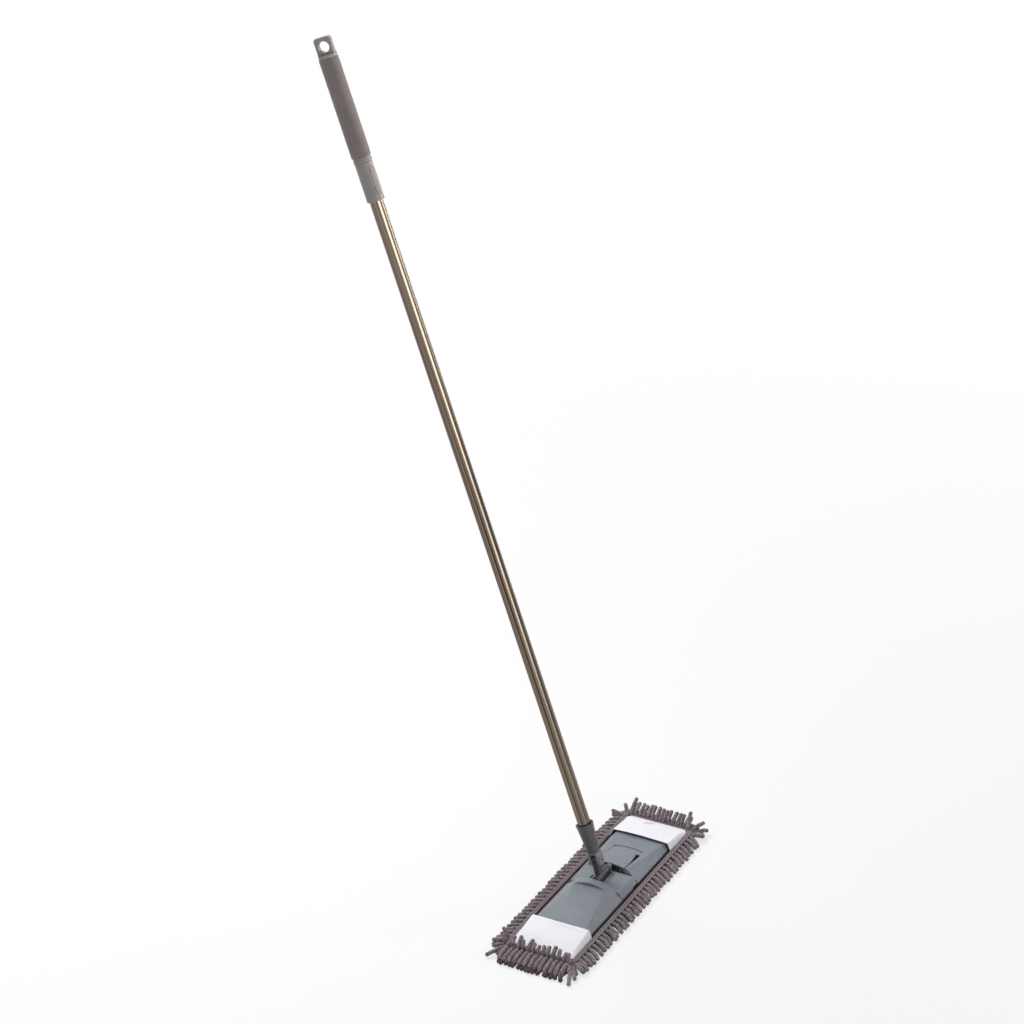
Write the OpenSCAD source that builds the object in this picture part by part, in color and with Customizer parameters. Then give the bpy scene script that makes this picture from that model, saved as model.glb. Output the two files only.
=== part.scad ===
// Flat dust mop with a folding plate, a two-way swivel and a telescopic handle.
// X runs along the plate, Z is up, and the origin is on the floor under the middle of the pad.
// The plate's far wing, with the pedal, points to +X, and the handle leans to +Y.

/* [Pad] */
// How far the pad reaches past the plate at each end
pad_over_l = 30; // [20:0.5:60]
// How far the pad reaches past the plate at each side
pad_over_w = 13; // [12.5:0.5:30]
// Corner radius of the binding's outer edge
pad_corner_r = 14; // [6:0.5:30]
// Height of the chenille mass under the backing
sole_h = 9.4; // [5:0.1:20]
// Thickness of the backing cloth
backing_t = 3; // [1:0.1:6]
// Gap between two soft layers that lie on each other
seat_gap = 0.1; // [0.05:0.01:0.4]
// Gap between the plate and the soft pieces around it
soft_gap = 0.3; // [0.2:0.05:1]
// Width of the binding tape
binding_w = 8; // [4:0.5:14]
// Height of the binding above the backing
binding_h = 3.3; // [1.5:0.1:6]
// Width of the groove between the two ribs of the binding
binding_groove_w = 1.8; // [0.5:0.1:4]
// Depth of that groove
binding_groove_d = 1.3; // [0.3:0.1:3]
// How far the edge strip of the fringe stands back from the binding's outer edge
edge_back = 1; // [0.5:0.1:4]
// Width of the edge strip of the fringe
edge_w = 7.7; // [4:0.1:12]
// Height of the edge strip's underside above the floor
edge_z = 1.4; // [0.5:0.1:5]

/* [Fringe] */
// Spacing of the noodles on the long sides
noodle_pitch = 13; // [8:0.1:16]
// Half width of a noodle on the long sides
noodle_r = 3.8; // [2:0.1:5]
// Half width of a noodle at the ends
noodle_end_r = 3.05; // [2:0.05:5]
// Reach of the noodles past the edge strip
noodle_reach = 26; // [10:0.5:60]
// Depth of a noodle's root inside the edge strip
noodle_root = 4; // [2:0.1:6]
// Height of a root on the long sides
noodle_root_z = 8.2; // [5:0.1:14]
// Height of a noodle's tip
noodle_tip_z = 4.4; // [3:0.1:8]
// Sideways stray of a noodle's tip
noodle_stray = 1.3; // [0:0.1:2]
// Noodles in one row at an end
noodle_end_n = 13; // [5:1:21]
// Height of a root in the lower row at the ends
end_low_z = 4.9; // [4:0.1:8]
// Height of a root in the upper row at the ends
end_high_z = 9.1; // [7:0.1:12]
// Height of a tip in the upper row
end_rise_z = 29; // [15:0.5:45]
// How far an upper noodle bows out before it rises
end_bow = 9; // [6:0.5:16]
// How far the near end's upper tips lean in
end_lean_near = 4; // [-10:0.5:10]
// How far the far end's upper tips lean in
end_lean_far = -2; // [-10:0.5:10]
// Noodles round each corner
corner_n = 3; // [1:1:5]
// Angle between two noodles in the pattern that makes them stray
stray_step = 137; // [10:1:350]

/* [Plate] */
// Length of the plate over its wing tips
plate_l = 400; // [250:1:640]
// Width of the plate
plate_w = 104; // [70:1:150]
// Wall thickness of the wings
wall = 2.4; // [1.5:0.1:4]
// Height of the upright lip along the plate's edges
lip_h = 2.8; // [1:0.1:6]
// How far each wing tip reaches into its pocket
mouth_in = 50; // [30:0.5:80]
// Height of the wing's top at the pocket's mouth
mouth_z = 24.5; // [18:0.1:32]
// Width of the wing's top at the pocket's mouth
mouth_top_w = 90; // [50:1:120]
// Height of the wing's top at its tip
tip_z = 18; // [15:0.1:26]
// Width of the wing's bottom at its tip
tip_w = 80; // [40:1:120]
// Width of the wing's top at its tip
tip_top_w = 66; // [30:1:110]
// Height of the ridge where the wings meet the hub
ridge_z = 36; // [28:0.1:44]
// Width between the ridges at the hub
ridge_w = 58; // [40:1:90]
// Near end of the bridge, from the middle
bridge_near_x = 40; // [30:0.5:60]
// Far face of the bridge, from the middle
bridge_x = 24.6; // [20:0.1:34]
// Rise of the bridge's crown above its ridges
bridge_crown = 4; // [0:0.1:8]
// Top of the tray's floor
tray_z = 27; // [22:0.1:34]
// Thickness of the tray's floor
tray_t = 3; // [2:0.1:5]
// Width of the tray's flat floor
tray_w = 88; // [60:1:120]
// Far end of the hub, from the middle
hub_far_x = 30.5; // [26:0.1:40]
// Thickness of the stiffening ribs
rib_t = 1.8; // [1:0.1:3]
// Distance of the long ribs from the middle
rib_y = 20; // [8:0.5:34]
// Radius of the scoop's curved edge beside the bridge
scoop_edge_r = 68; // [40:1:120]
// Position of the scoop's curved edge, from the middle
scoop_x = 37; // [30:0.5:60]
// Radius of the scoop's hollow floor
scoop_floor_r = 142; // [80:1:300]
// Depth of the scoop at its edge
scoop_d = 3; // [1:0.1:5]
// Slope of the scoop's floor
scoop_slope = 2.6; // [0:0.1:10]
// Half width of the recess under the barrel
recess_y = 8.6; // [7:0.1:12]
// Depth of the recess under the barrel
recess_d = 2.4; // [1:0.1:3]
// Thickness of the rails beside the recess
rail_t = 1.6; // [0.8:0.1:3]
// Height of the rails above the tray
rail_h = 2.2; // [0.5:0.1:5]
// Length of the drain slot in the tray
drain_l = 10; // [4:0.5:20]
// Width of the drain slot in the tray
drain_w = 3; // [1:0.1:6]
// Distance of the drain slot from the middle
drain_y = 17; // [13:0.5:30]
// Radius of the clip holes in the hub's sides
clip_r = 1.7; // [0.5:0.1:2.5]
// Height of the far wing's ridges beside the pedal's pin
far_mid_z = 28; // [24:0.1:34]

/* [Fold] */
// Position of the fold's axis, from the middle
fold_x = 32; // [28:0.1:42]
// Height of the fold's axis
fold_z = 16; // [14:0.1:20]
// Radius of the knuckles
knuckle_r = 3; // [2:0.1:5]
// Radius of the fold pins
fold_pin_r = 1.5; // [1:0.05:2.5]
// Radial running clearance of pins in moving bores
run_gap = 0.05; // [0.01:0.01:0.1]
// Radial clearance of pins in fixed bores
fix_gap = 0.02; // [0.01:0.01:0.1]
// Radius cleared around the knuckles
fold_relief_r = 4.1; // [3.3:0.1:8]
// Inner end of the near knuckles, from the middle
knuckle_y = 30.8; // [10:0.1:40]
// Length of one knuckle
knuckle_l = 8; // [4:0.1:14]
// Gap between two knuckles
knuckle_gap = 0.3; // [0.1:0.05:1]
// Top of the knuckles' arms
knuckle_arm_z = 22; // [19:0.1:26]
// Near end of the part of the pad that bends in the fold
bend_x = 15.4; // [10:0.1:20]
// Far end of the part of the pad that bends in the fold
bend_far_x = 32.2; // [30:0.1:40]

/* [Pedal] */
// Gap between the hub and the far wing
wing_gap = 2.7; // [1:0.1:5]
// Width of the pedal
pedal_w = 53.8; // [30:0.1:80]
// Gap beside the pedal
pedal_gap = 0.3; // [0.3:0.05:2]
// Front of the pedal, from the middle
pedal_x = 34; // [30:0.1:45]
// Crease of the pedal, from the middle
crease_x = 55; // [38:0.1:60]
// Point where the pedal flattens, from the middle
pedal_mid_x = 80; // [60:0.1:95]
// Rear of the pedal, from the middle
pedal_rear_x = 111; // [95:0.1:130]
// Radius of the pedal's curved rear edge
pedal_rear_r = 75; // [40:1:200]
// Crown height of the pedal at its front
pedal_z = 39.4; // [34:0.1:46]
// Crown height at the crease
crease_z = 37.8; // [32:0.1:44]
// Crown height where it flattens
pedal_mid_z = 31; // [26:0.1:38]
// Crown height at the rear
pedal_rear_z = 25.6; // [22:0.1:30]
// Drop of the pedal's sides below its crown, at the front
pedal_drop = 3.2; // [0:0.1:6]
// Drop of the pedal's sides below its crown, at the rear
pedal_rear_drop = 0.6; // [0:0.1:3]
// Depth of the pedal's skirt
skirt_h = 8; // [4:0.1:12]
// Wall thickness of the pedal
pedal_t = 2.6; // [1.5:0.1:4]
// Position of the pedal's pin, from the middle
pedal_pin_x = 100; // [85:0.1:110]
// Height of the pedal's pin
pedal_pin_z = 19.6; // [16:0.1:24]
// Radius of the pedal's pin
pedal_pin_r = 2; // [1:0.05:3]
// Radius of the bosses around the pedal's pin
pedal_boss_r = 4; // [3:0.1:6]
// Length of the bosses around the pedal's pin
pedal_boss_l = 6; // [3:0.1:12]
// Near end of the slot beside the pedal
slot_x = 58; // [45:0.5:80]
// Far end of the slot beside the pedal
slot_far_x = 95; // [80:0.5:98]
// Depth of the slot into the pedal's side, at its far end
slot_d = 8; // [2:0.1:8]
// How far the pedal's side stands back in front of the slot
side_cut = 1.4; // [0.2:0.1:2]
// Inner side of the latch arms, from the middle
latch_y = 14; // [6:0.5:20]
// Width of a latch arm
latch_w = 8; // [3:0.5:12]
// Lower side of the latch noses
latch_z = 19.5; // [17:0.1:23]
// Height of the latch noses
latch_h = 2.5; // [1:0.1:4]
// Reach of the latch noses into the hub's windows
latch_reach = 1.5; // [0.5:0.1:2]
// Room below a latch nose in its window
latch_room = 4.8; // [3:0.1:6]
// Room above a latch nose in its window
latch_head = 1.5; // [0.5:0.1:3]
// Position of the pedal's spring, from the middle
spring_x = 58; // [50:0.5:75]
// Outer radius of the spring
spring_r = 4.6; // [3:0.1:7]
// Radius of the spring's wire
wire_r = 0.6; // [0.3:0.05:1]
// Curls of the spring
spring_curls = 5.5; // [3:0.5:9]
// Height of the spring
spring_h = 17; // [8:0.1:22]
// Thickness of the spring's seat
seat_t = 2.4; // [1.5:0.1:4]
// Length of the spring's seat
seat_l = 16; // [10:0.5:30]
// Radius of the peg in the spring
peg_r = 2.8; // [1.5:0.1:5]
// Height of the peg in the spring
peg_h = 4; // [2:0.1:8]

/* [Swivel] */
// Height of the barrel's axis
axle_z = 35.5; // [32:0.1:48]
// Radius of the barrel
barrel_r = 7; // [4:0.05:8]
// Length of the barrel
barrel_l = 47.2; // [30:0.1:60]
// Gap at each end of the barrel
barrel_gap = 0.6; // [0.2:0.05:2]
// Radius of the axle pin
axle_r = 2; // [1.2:0.05:3]
// Radius of the bosses that hold the axle pin
axle_boss_r = 4.4; // [3.5:0.1:8]
// Length of the near boss that holds the axle pin
axle_boss_l = 5; // [3:0.1:10]
// Distance from the barrel's axis to the fork pin
stem_h = 27; // [20:0.1:45]
// Width of the stem at the barrel
stem_w = 24; // [14:0.1:36]
// Position along the barrel of the stem's far edge
stem_far_x = -2; // [-4:0.1:12]
// Width of the stem's head
stem_head_w = 15.6; // [10:0.1:24]
// Height of the stem's head above the fork pin
stem_head_h = 7.4; // [5:0.1:12]
// Corner radius of the stem's head
stem_head_r = 3; // [1:0.1:5]
// Thickness of the stem
stem_t = 9.6; // [6:0.1:14]
// Radius of the round dimple in the stem's near side
dimple_r = 2.6; // [1:0.1:4]
// Depth of the dimple
dimple_d = 0.8; // [0.2:0.1:2]
// Radius of the fork pin
fork_pin_r = 2.5; // [1.5:0.05:4]
// Lean of the handle away from upright
lean = 20; // [0:1:40]

/* [Fork and socket] */
// Gap between the stem and each ear
ear_gap = 0.35; // [0.1:0.05:1]
// Thickness of an ear
ear_t = 4.5; // [3:0.1:7]
// Radius of an ear
ear_r = 9; // [6:0.1:12]
// Radius of the round boss on an ear's outer face
ear_boss_r = 6.8; // [4:0.1:9]
// Height of that boss
ear_boss_h = 0.9; // [0.3:0.1:2]
// Height of the fork's crotch above the fork pin
crotch_h = 13.4; // [9:0.1:16]
// Thickness of the fork's base
fork_base_t = 3; // [2:0.1:8]
// Radius of the fork's spigot inside the socket
spigot_r = 8; // [5:0.1:9]
// Length of the fork's spigot
spigot_l = 18; // [8:0.5:30]
// Radius of the socket's lower end
socket_low_r = 10.6; // [9:0.1:14]
// Radius of the socket's upper end
socket_r = 14.7; // [12.6:0.1:20]
// Length of the socket
socket_l = 52.1; // [35:0.1:80]
// Height of the socket's rim
rim_h = 2.6; // [1:0.1:6]
// How far the rim stands out
rim_out = 0.6; // [0.2:0.1:2]
// Gap round the tube at the socket's mouth
mouth_gap = 1.5; // [0.5:0.1:2.5]
// Depth of that gap
mouth_gap_d = 4; // [1:0.1:10]
// Depth of the tube in the socket
tube_seat = 24; // [15:0.1:35]
// Height of the ring groove on the socket
ring_groove_h = 21; // [10:0.1:40]
// Width of the ring groove on the socket
ring_groove_w = 1.2; // [0.4:0.1:3]
// Depth of the ring groove on the socket
ring_groove_d = 0.4; // [0.1:0.05:1]

/* [Handle] */
// Radius of the lower tube
tube_r = 11; // [9:0.1:16]
// Wall of the lower tube
tube_t = 0.95; // [0.6:0.05:2]
// Distance from the barrel's axis to the collar's lower end
collar_s = 1192.6; // [700:0.1:1500]
// Length of the collar
collar_l = 63.7; // [30:0.1:90]
// Radius of the collar
collar_r = 14.3; // [12.6:0.1:20]
// Depth of the lower tube in the collar
collar_seat = 44; // [20:0.1:60]
// Width of the collar's raised rib
collar_rib_w = 7; // [3:0.1:12]
// Height of the collar's raised rib
collar_rib_h = 1.1; // [0.3:0.1:3]
// Length of the collar's raised rib
collar_rib_l = 47; // [20:0.5:70]
// Turn of the collar's rib about the handle
collar_turn = -20; // [-180:1:180]
// Radius of the inner tube
inner_r = 9.5; // [7:0.1:14]
// Wall of the inner tube
inner_t = 0.8; // [0.5:0.05:2]
// Length of the inner tube
inner_l = 540; // [300:1:800]
// Travel of the inner tube
travel = 250; // [100:1:400]
// Gap between the collar and the ring
ring_gap = 0.4; // [0.2:0.05:1]
// Height of the ring under the grip
ring_h = 7.8; // [4:0.1:12]
// Radius of the ring's wider band
ring_r = 15; // [12:0.1:20]
// Radius of the ring's narrower band
ring_low_r = 14.2; // [12:0.1:20]
// Length of the foam grip
grip_l = 162.8; // [80:0.1:300]
// Radius of the foam grip
grip_r = 16; // [13:0.1:24]
// Rounding of the grip's ends
grip_round = 2.4; // [0.5:0.1:5]
// Height of the lock plug
plug_h = 30; // [16:0.5:60]
// Height of the lock cam
cam_h = 14; // [6:0.1:20]
// Radial gap between the cam and the lower tube
cam_gap = 0.12; // [0.05:0.01:0.4]
// Radius of the plug's eccentric
cam_core_r = 6.6; // [4:0.1:8]
// Offset of the plug's eccentric
cam_offset = 1; // [0.3:0.1:2]

/* [Hang cap] */
// Height of the flange
flange_h = 5; // [2:0.1:10]
// Radius of the flange
flange_r = 15.2; // [12:0.1:20]
// Width of the tab
tab_w = 27; // [20:0.1:40]
// Height of the tab above the flange
tab_h = 28; // [22:0.1:45]
// Thickness of the tab
tab_t = 11; // [5:0.1:16]
// Corner radius of the tab
tab_round = 5; // [3:0.1:12]
// Radius of the hang hole
hang_r = 9; // [5:0.1:11]
// Height of the hang hole's centre above the flange
hang_h = 12.6; // [10:0.1:24]
// Turn of the tab about the handle
tab_turn = -74; // [-90:1:90]
// Radius of the cap's plug in the inner tube
cap_plug_r = 8.6; // [6:0.1:12]
// Length of the cap's plug
cap_plug_l = 24; // [10:0.5:40]

/* [Pockets] */
// Thickness of the pocket cloth
cloth_t = 1.4; // [0.8:0.1:3]
// How far a pocket's sides stand out from the plate's sides
pocket_side = 4; // [2:0.1:4.5]
// Rise of the pocket above the wing at its mouth
pocket_rise = 2.5; // [1.8:0.1:6]
// How far the pocket's shoulders stand out from the wing's ridges
pocket_shoulder = 3; // [2:0.1:5]
// How far the pocket's bend lies inside the wing's tip
pocket_bend_in = 8; // [2:0.5:20]
// Rise of the pocket above the wing's tip at its bend
pocket_tip_rise = 3.6; // [2:0.1:6]
// Height of the pocket's closed end above the plate's underside
pocket_end_rise = 2.4; // [1.5:0.1:6]
// Chamfer of the pocket's corners at its closed end
pocket_corner = 5; // [2:0.5:10]
// Gap between the pocket's closed end and the binding
pocket_end_gap = 0.6; // [0.2:0.1:2]

/* [Hidden] */
$fn = 64;
pad_l = plate_l + 2 * pad_over_l;
pad_w = plate_w + 2 * pad_over_w;
// Overrun of cuts past the faces that they open
over = pad_w / 65;
backing_z0 = sole_h + seat_gap;
backing_z1 = backing_z0 + backing_t;
binding_z0 = backing_z1 + seat_gap;
plate_z0 = backing_z1 + soft_gap;
edge_out_x = pad_l / 2 - edge_back;
edge_out_y = pad_w / 2 - edge_back;
edge_in_x = edge_out_x - edge_w;
edge_in_y = edge_out_y - edge_w;
edge_r = pad_corner_r - edge_back;
edge_in_r = max(edge_r - edge_w, edge_w / 4);
field_x = edge_in_x - soft_gap;
field_y = edge_in_y - soft_gap;
field_r = edge_in_r - soft_gap;
noodle_end_pitch = (2 * (edge_out_y - edge_r) - noodle_end_r) / (noodle_end_n - 1);
far_x0 = hub_far_x + wing_gap;
half_w = plate_w / 2;
mouth_x = plate_l / 2 - mouth_in;
far_mid_share = (slot_far_x - far_x0) / (mouth_x - far_x0);
far_mid_hw = ridge_w / 2 + wall + (mouth_top_w / 2 - ridge_w / 2 - wall) * far_mid_share;
pocket_y = half_w + pocket_side;
pocket_top_w = mouth_top_w + 2 * pocket_shoulder;
pocket_z = mouth_z + pocket_rise;
pocket_bend_x = plate_l / 2 - pocket_bend_in;
pocket_bend_z = tip_z + pocket_tip_rise;
pocket_end_z = plate_z0 + pocket_end_rise;
// Share of a flank that the chamfer along its ridge takes
ridge_share = 0.1;
scoop_wall = wall + scoop_d;
well_y = pedal_w / 2 + pedal_gap;
well_wall_y = well_y + wall;
rear_cx = pedal_rear_x - pedal_rear_r;
pin_end_y = well_wall_y + wall;
seat_z = plate_z0 + seat_t;
axle_near_x = -bridge_x - axle_boss_l + axle_r / 2;
socket_s0 = stem_h + crotch_h + fork_base_t;
socket_s1 = socket_s0 + socket_l;
tube_s0 = socket_s1 - tube_seat;
tube_s1 = collar_s + collar_seat;
ring_s0 = collar_s + collar_l + ring_gap;
grip_s0 = ring_s0 + ring_h;
grip_s1 = grip_s0 + grip_l;
inner_s1 = grip_s1;
inner_s0 = inner_s1 - inner_l;
flange_s1 = grip_s1 + flange_h;
ear_y = stem_t / 2 + ear_gap;

// Colours as photographed
plate_col = [0.47, 0.49, 0.52];
dark_col = [0.26, 0.26, 0.27];
steel_col = [0.55, 0.5, 0.45];
grip_col = [0.42, 0.4, 0.385];
cap_col = [0.49, 0.475, 0.46];
yarn_col = [0.39, 0.345, 0.36];
tape_col = [0.47, 0.42, 0.43];
cloth_col = [0.95, 0.95, 0.97];
zinc_col = [0.72, 0.72, 0.72];

function mix(a, b, t) = a + (b - a) * t;

// A closed wing section: upright lips, sloping flanks, chamfered ridges and a flat or crowned top.
function wing_section(hb, ht, zt, z0, lip, crown = 0) = let(
    side = mix(hb, ht, 1 - ridge_share),
    side_z = mix(z0 + lip, zt, 1 - ridge_share),
    top = ht - (side - ht)
  ) [[-hb, z0], [-hb, z0 + lip], [-side, side_z], [-top, zt], [-top / 2, zt + crown * crown_rise_share],
     [0, zt + crown], [top / 2, zt + crown * crown_rise_share], [top, zt], [side, side_z],
     [hb, z0 + lip], [hb, z0]];

// An arched section for the pedal: skirt, sloping shoulders and a crown.
crown_share = 0.55;
crown_rise_share = 0.7;
function arch_section(hw, zs, zc, z0) = [[-hw, z0], [-hw, zs],
  [-hw * crown_share, mix(zs, zc, crown_rise_share)], [0, zc],
  [hw * crown_share, mix(zs, zc, crown_rise_share)], [hw, zs], [hw, z0]];

// Solid through sections listed as [x, [[y, z], ...]], from small x to large x.
module loft(sections) {
  n = len(sections[0][1]);
  m = len(sections);
  points = [for (s = sections) for (p = s[1]) [s[0], p[0], p[1]]];
  sides = [for (i = [0 : m - 2]) for (j = [0 : n - 1])
    let(a = i * n + j, b = i * n + (j + 1) % n, c = a + n, d = b + n)
    each [[a, b, d], [a, d, c]]];
  first = [for (j = [1 : n - 2]) [0, j + 1, j]];
  last = [for (j = [1 : n - 2]) [(m - 1) * n, (m - 1) * n + j, (m - 1) * n + j + 1]];
  polyhedron(points = points, faces = concat(sides, first, last));
}

// The same sections with more between each two, so that twisted flanks stay smooth.
refine_n = 4;
function refined(sections) = let(last = len(sections) - 1) concat(
  [for (i = [0 : last - 1]) for (k = [0 : refine_n - 1])
    let(a = sections[i], b = sections[i + 1], t = k / refine_n)
    [mix(a[0], b[0], t), [for (j = [0 : len(a[1]) - 1]) mix(a[1][j], b[1][j], t)]]],
  [sections[last]]);

// Box between two corners.
module box(a, b) {
  translate(a)
    cube(b - a);
}

// Cylinder along Y between two positions.
module rod_y(x, z, r, y0, y1) {
  translate([x, y0, z])
    rotate([-90, 0, 0])
      cylinder(r = r, h = y1 - y0);
}

// Cylinder along X between two positions.
module rod_x(y, z, r, x0, x1) {
  translate([x0, y, z])
    rotate([0, 90, 0])
      cylinder(r = r, h = x1 - x0);
}

// Flat outline in X and Z, drawn out along Y.
module slab_y(outline, y0, y1) {
  translate([0, y1, 0])
    rotate([90, 0, 0])
      linear_extrude(y1 - y0)
        polygon(outline);
}

// Places pieces in the handle's own frame, with Z along the handle from the barrel's axis.
module on_handle() {
  translate([0, 0, axle_z])
    rotate([-lean, 0, 0])
      children();
}

module tube(r, t, s0, s1) {
  difference() {
    translate([0, 0, s0])
      cylinder(r = r, h = s1 - s0);
    translate([0, 0, s0 - over])
      cylinder(r = r - t, h = s1 - s0 + 2 * over);
  }
}

// Rounded rectangle about the middle.
module round_rect(hx, hy, r) {
  square([2 * hx, 2 * (hy - r)], center = true);
  square([2 * (hx - r), 2 * hy], center = true);
  for (sx = [-1, 1])
    for (sy = [-1, 1])
      translate([sx * (hx - r), sy * (hy - r)])
        circle(r);
}

// Wings

function near_top(x) = x < -mouth_x
  ? mix(tip_z, mouth_z, (x + plate_l / 2) / (plate_l / 2 - mouth_x))
  : mix(mouth_z, ridge_z, min(1, (x + mouth_x) / (mouth_x - bridge_near_x)));

module near_shell() {
  difference() {
    loft(refined([
      [-plate_l / 2, wing_section(tip_w / 2, tip_top_w / 2, tip_z, plate_z0, lip_h)],
      [-mouth_x, wing_section(half_w, mouth_top_w / 2, mouth_z, plate_z0, lip_h)],
      [-bridge_near_x, wing_section(half_w, ridge_w / 2, ridge_z, plate_z0, lip_h, bridge_crown / 2)],
      [-bridge_x, wing_section(half_w, ridge_w / 2, ridge_z, plate_z0, lip_h, bridge_crown)]]));
    loft(refined([
      [-plate_l / 2 + wall, wing_section(tip_w / 2 - wall, tip_top_w / 2 - wall, tip_z - wall,
        plate_z0 - over, lip_h + over)],
      [-mouth_x, wing_section(half_w - wall, mouth_top_w / 2 - wall, mouth_z - wall,
        plate_z0 - over, lip_h + over)],
      [-bridge_near_x, wing_section(half_w - wall, ridge_w / 2 - wall, ridge_z - scoop_wall,
        plate_z0 - over, lip_h + over)],
      [-bridge_x - wall, wing_section(half_w - wall, ridge_w / 2 - wall, ridge_z - scoop_wall,
        plate_z0 - over, lip_h + over)]]));
  }
}

module tray_shell() {
  difference() {
    loft([
      [-bridge_x - wall / 2, wing_section(half_w, tray_w / 2, tray_z, plate_z0, lip_h)],
      [hub_far_x, wing_section(half_w, tray_w / 2, tray_z, plate_z0, lip_h)]]);
    loft([
      [-bridge_x, wing_section(half_w - wall, tray_w / 2 - wall, tray_z - tray_t,
        plate_z0 - over, lip_h + over)],
      [hub_far_x - wall, wing_section(half_w - wall, tray_w / 2 - wall, tray_z - tray_t,
        plate_z0 - over, lip_h + over)]]);
  }
}

// Shallow hollow in the near wing, with a curved edge beside the bridge.
module scoop() {
  intersection() {
    translate([-scoop_x - scoop_edge_r, 0, plate_z0])
      cylinder(r = scoop_edge_r, h = 2 * ridge_z, $fn = 128);
    translate([-scoop_x, 0, ridge_z - scoop_d + scoop_floor_r])
      rotate([0, -scoop_slope, 0])
        rotate([0, -90, 0])
          cylinder(r = scoop_floor_r, h = 2 * scoop_edge_r, $fn = 128);
  }
}

module near_ribs() {
  for (s = [-1, 1])
    slab_y([[-mouth_x - rib_y, plate_z0], [-bridge_x - wall / 2, plate_z0],
      [-bridge_x - wall / 2, ridge_z - scoop_wall + wall / 2],
      [-bridge_near_x, ridge_z - scoop_wall + wall / 2],
      [-mouth_x, mouth_z - wall / 2],
      [-mouth_x - rib_y, near_top(-mouth_x - rib_y) - wall / 2]],
      s * rib_y - rib_t / 2, s * rib_y + rib_t / 2);
  for (x = [-mouth_x + rib_y, -mouth_x / 2])
    box([x, -half_w + wall / 2, plate_z0], [x + rib_t, half_w - wall / 2, plate_z0 + lip_h]);
}

module knuckle(x0, x1, y0) {
  rod_y(fold_x, fold_z, knuckle_r, y0, y0 + knuckle_l);
  box([x0, y0, fold_z], [x1, y0 + knuckle_l, knuckle_arm_z]);
}

// Round cuts about the fold's axis, as long as the knuckles.
module fold_cut(r) {
  for (y = [knuckle_y - knuckle_gap, -knuckle_y - 2 * (knuckle_l + knuckle_gap)])
    rod_y(fold_x, fold_z, r, y, y + 2 * knuckle_l + 3 * knuckle_gap);
}

module near_wing() {
  color(plate_col)
    difference() {
      union() {
        difference() {
          union() {
            near_shell();
            tray_shell();
            near_ribs();
            box([-bridge_x - wall / 2, -recess_y - wall, tray_z - tray_t - recess_d],
              [hub_far_x - wall / 2, recess_y + wall, tray_z - tray_t / 2]);
          }
          scoop();
          fold_cut(fold_relief_r);
          // Room for the far half of the pad when it folds under the hub.
          box([bend_x - soft_gap, -half_w - over, plate_z0 - over],
            [hub_far_x + over, half_w + over, fold_z + soft_gap]);
          for (y = [-half_w - over, half_w - 2 * wall])
            rod_y(-bridge_x, plate_z0 + lip_h, clip_r, y, y + over + 2 * wall);
          box([-bridge_x, -recess_y, tray_z - recess_d],
            [bridge_x, recess_y, tray_z + over]);
          for (s = [-1, 1])
            translate([0, s * (latch_y + latch_w / 2), 0])
              box([hub_far_x - wall - over, -latch_w / 2 - latch_head, latch_z - latch_room],
                [hub_far_x + over, latch_w / 2 + latch_head, latch_z + latch_h + latch_head]);
          box([-drain_l / 2, drain_y - drain_w / 2, plate_z0],
            [drain_l / 2, drain_y + drain_w / 2, tray_z + over]);
        }
        rod_x(0, axle_z, axle_boss_r, -bridge_x - axle_boss_l, -bridge_x);
        rod_x(0, axle_z, axle_boss_r, bridge_x, hub_far_x);
        box([bridge_x, -axle_boss_r, tray_z - tray_t], [hub_far_x, axle_boss_r, axle_z]);
        for (s = [-1, 1])
          translate([0, s * (recess_y + rail_t / 2), 0])
            box([-bridge_x - wall / 2, -rail_t / 2, tray_z - tray_t / 2],
              [bridge_x, rail_t / 2, tray_z + rail_h]);
        for (y = [knuckle_y, -knuckle_y - knuckle_l])
          knuckle(hub_far_x - wall, hub_far_x + wall / 2, y);
      }
      rod_x(0, axle_z, axle_r + fix_gap, axle_near_x, hub_far_x + over);
      fold_cut(fold_pin_r + fix_gap);
    }
}

module far_shell() {
  difference() {
    loft(refined([
      [far_x0, wing_section(half_w, ridge_w / 2 + wall, ridge_z, plate_z0, lip_h)],
      [slot_far_x, wing_section(half_w, far_mid_hw, far_mid_z, plate_z0, lip_h)],
      [mouth_x, wing_section(half_w, mouth_top_w / 2, mouth_z, plate_z0, lip_h)],
      [plate_l / 2, wing_section(tip_w / 2, tip_top_w / 2, tip_z, plate_z0, lip_h)]]));
    loft(refined([
      [far_x0 + wall, wing_section(half_w - wall, ridge_w / 2, ridge_z - wall,
        plate_z0 - over, lip_h + over)],
      [slot_far_x, wing_section(half_w - wall, far_mid_hw - wall, far_mid_z - wall,
        plate_z0 - over, lip_h + over)],
      [mouth_x, wing_section(half_w - wall, mouth_top_w / 2 - wall, mouth_z - wall,
        plate_z0 - over, lip_h + over)],
      [plate_l / 2 - wall, wing_section(tip_w / 2 - wall, tip_top_w / 2 - wall, tip_z - wall,
        plate_z0 - over, lip_h + over)]]));
  }
}

// Clear shape of the pedal's well, with a curved rear edge.
module well(grow) {
  intersection() {
    box([far_x0 - over, -pedal_w / 2 - grow, plate_z0 - over],
      [pedal_rear_x + over, pedal_w / 2 + grow, 2 * ridge_z]);
    translate([rear_cx, 0, plate_z0 - 2 * over])
      cylinder(r = pedal_rear_r + grow, h = 2 * ridge_z, $fn = 128);
  }
}

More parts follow.
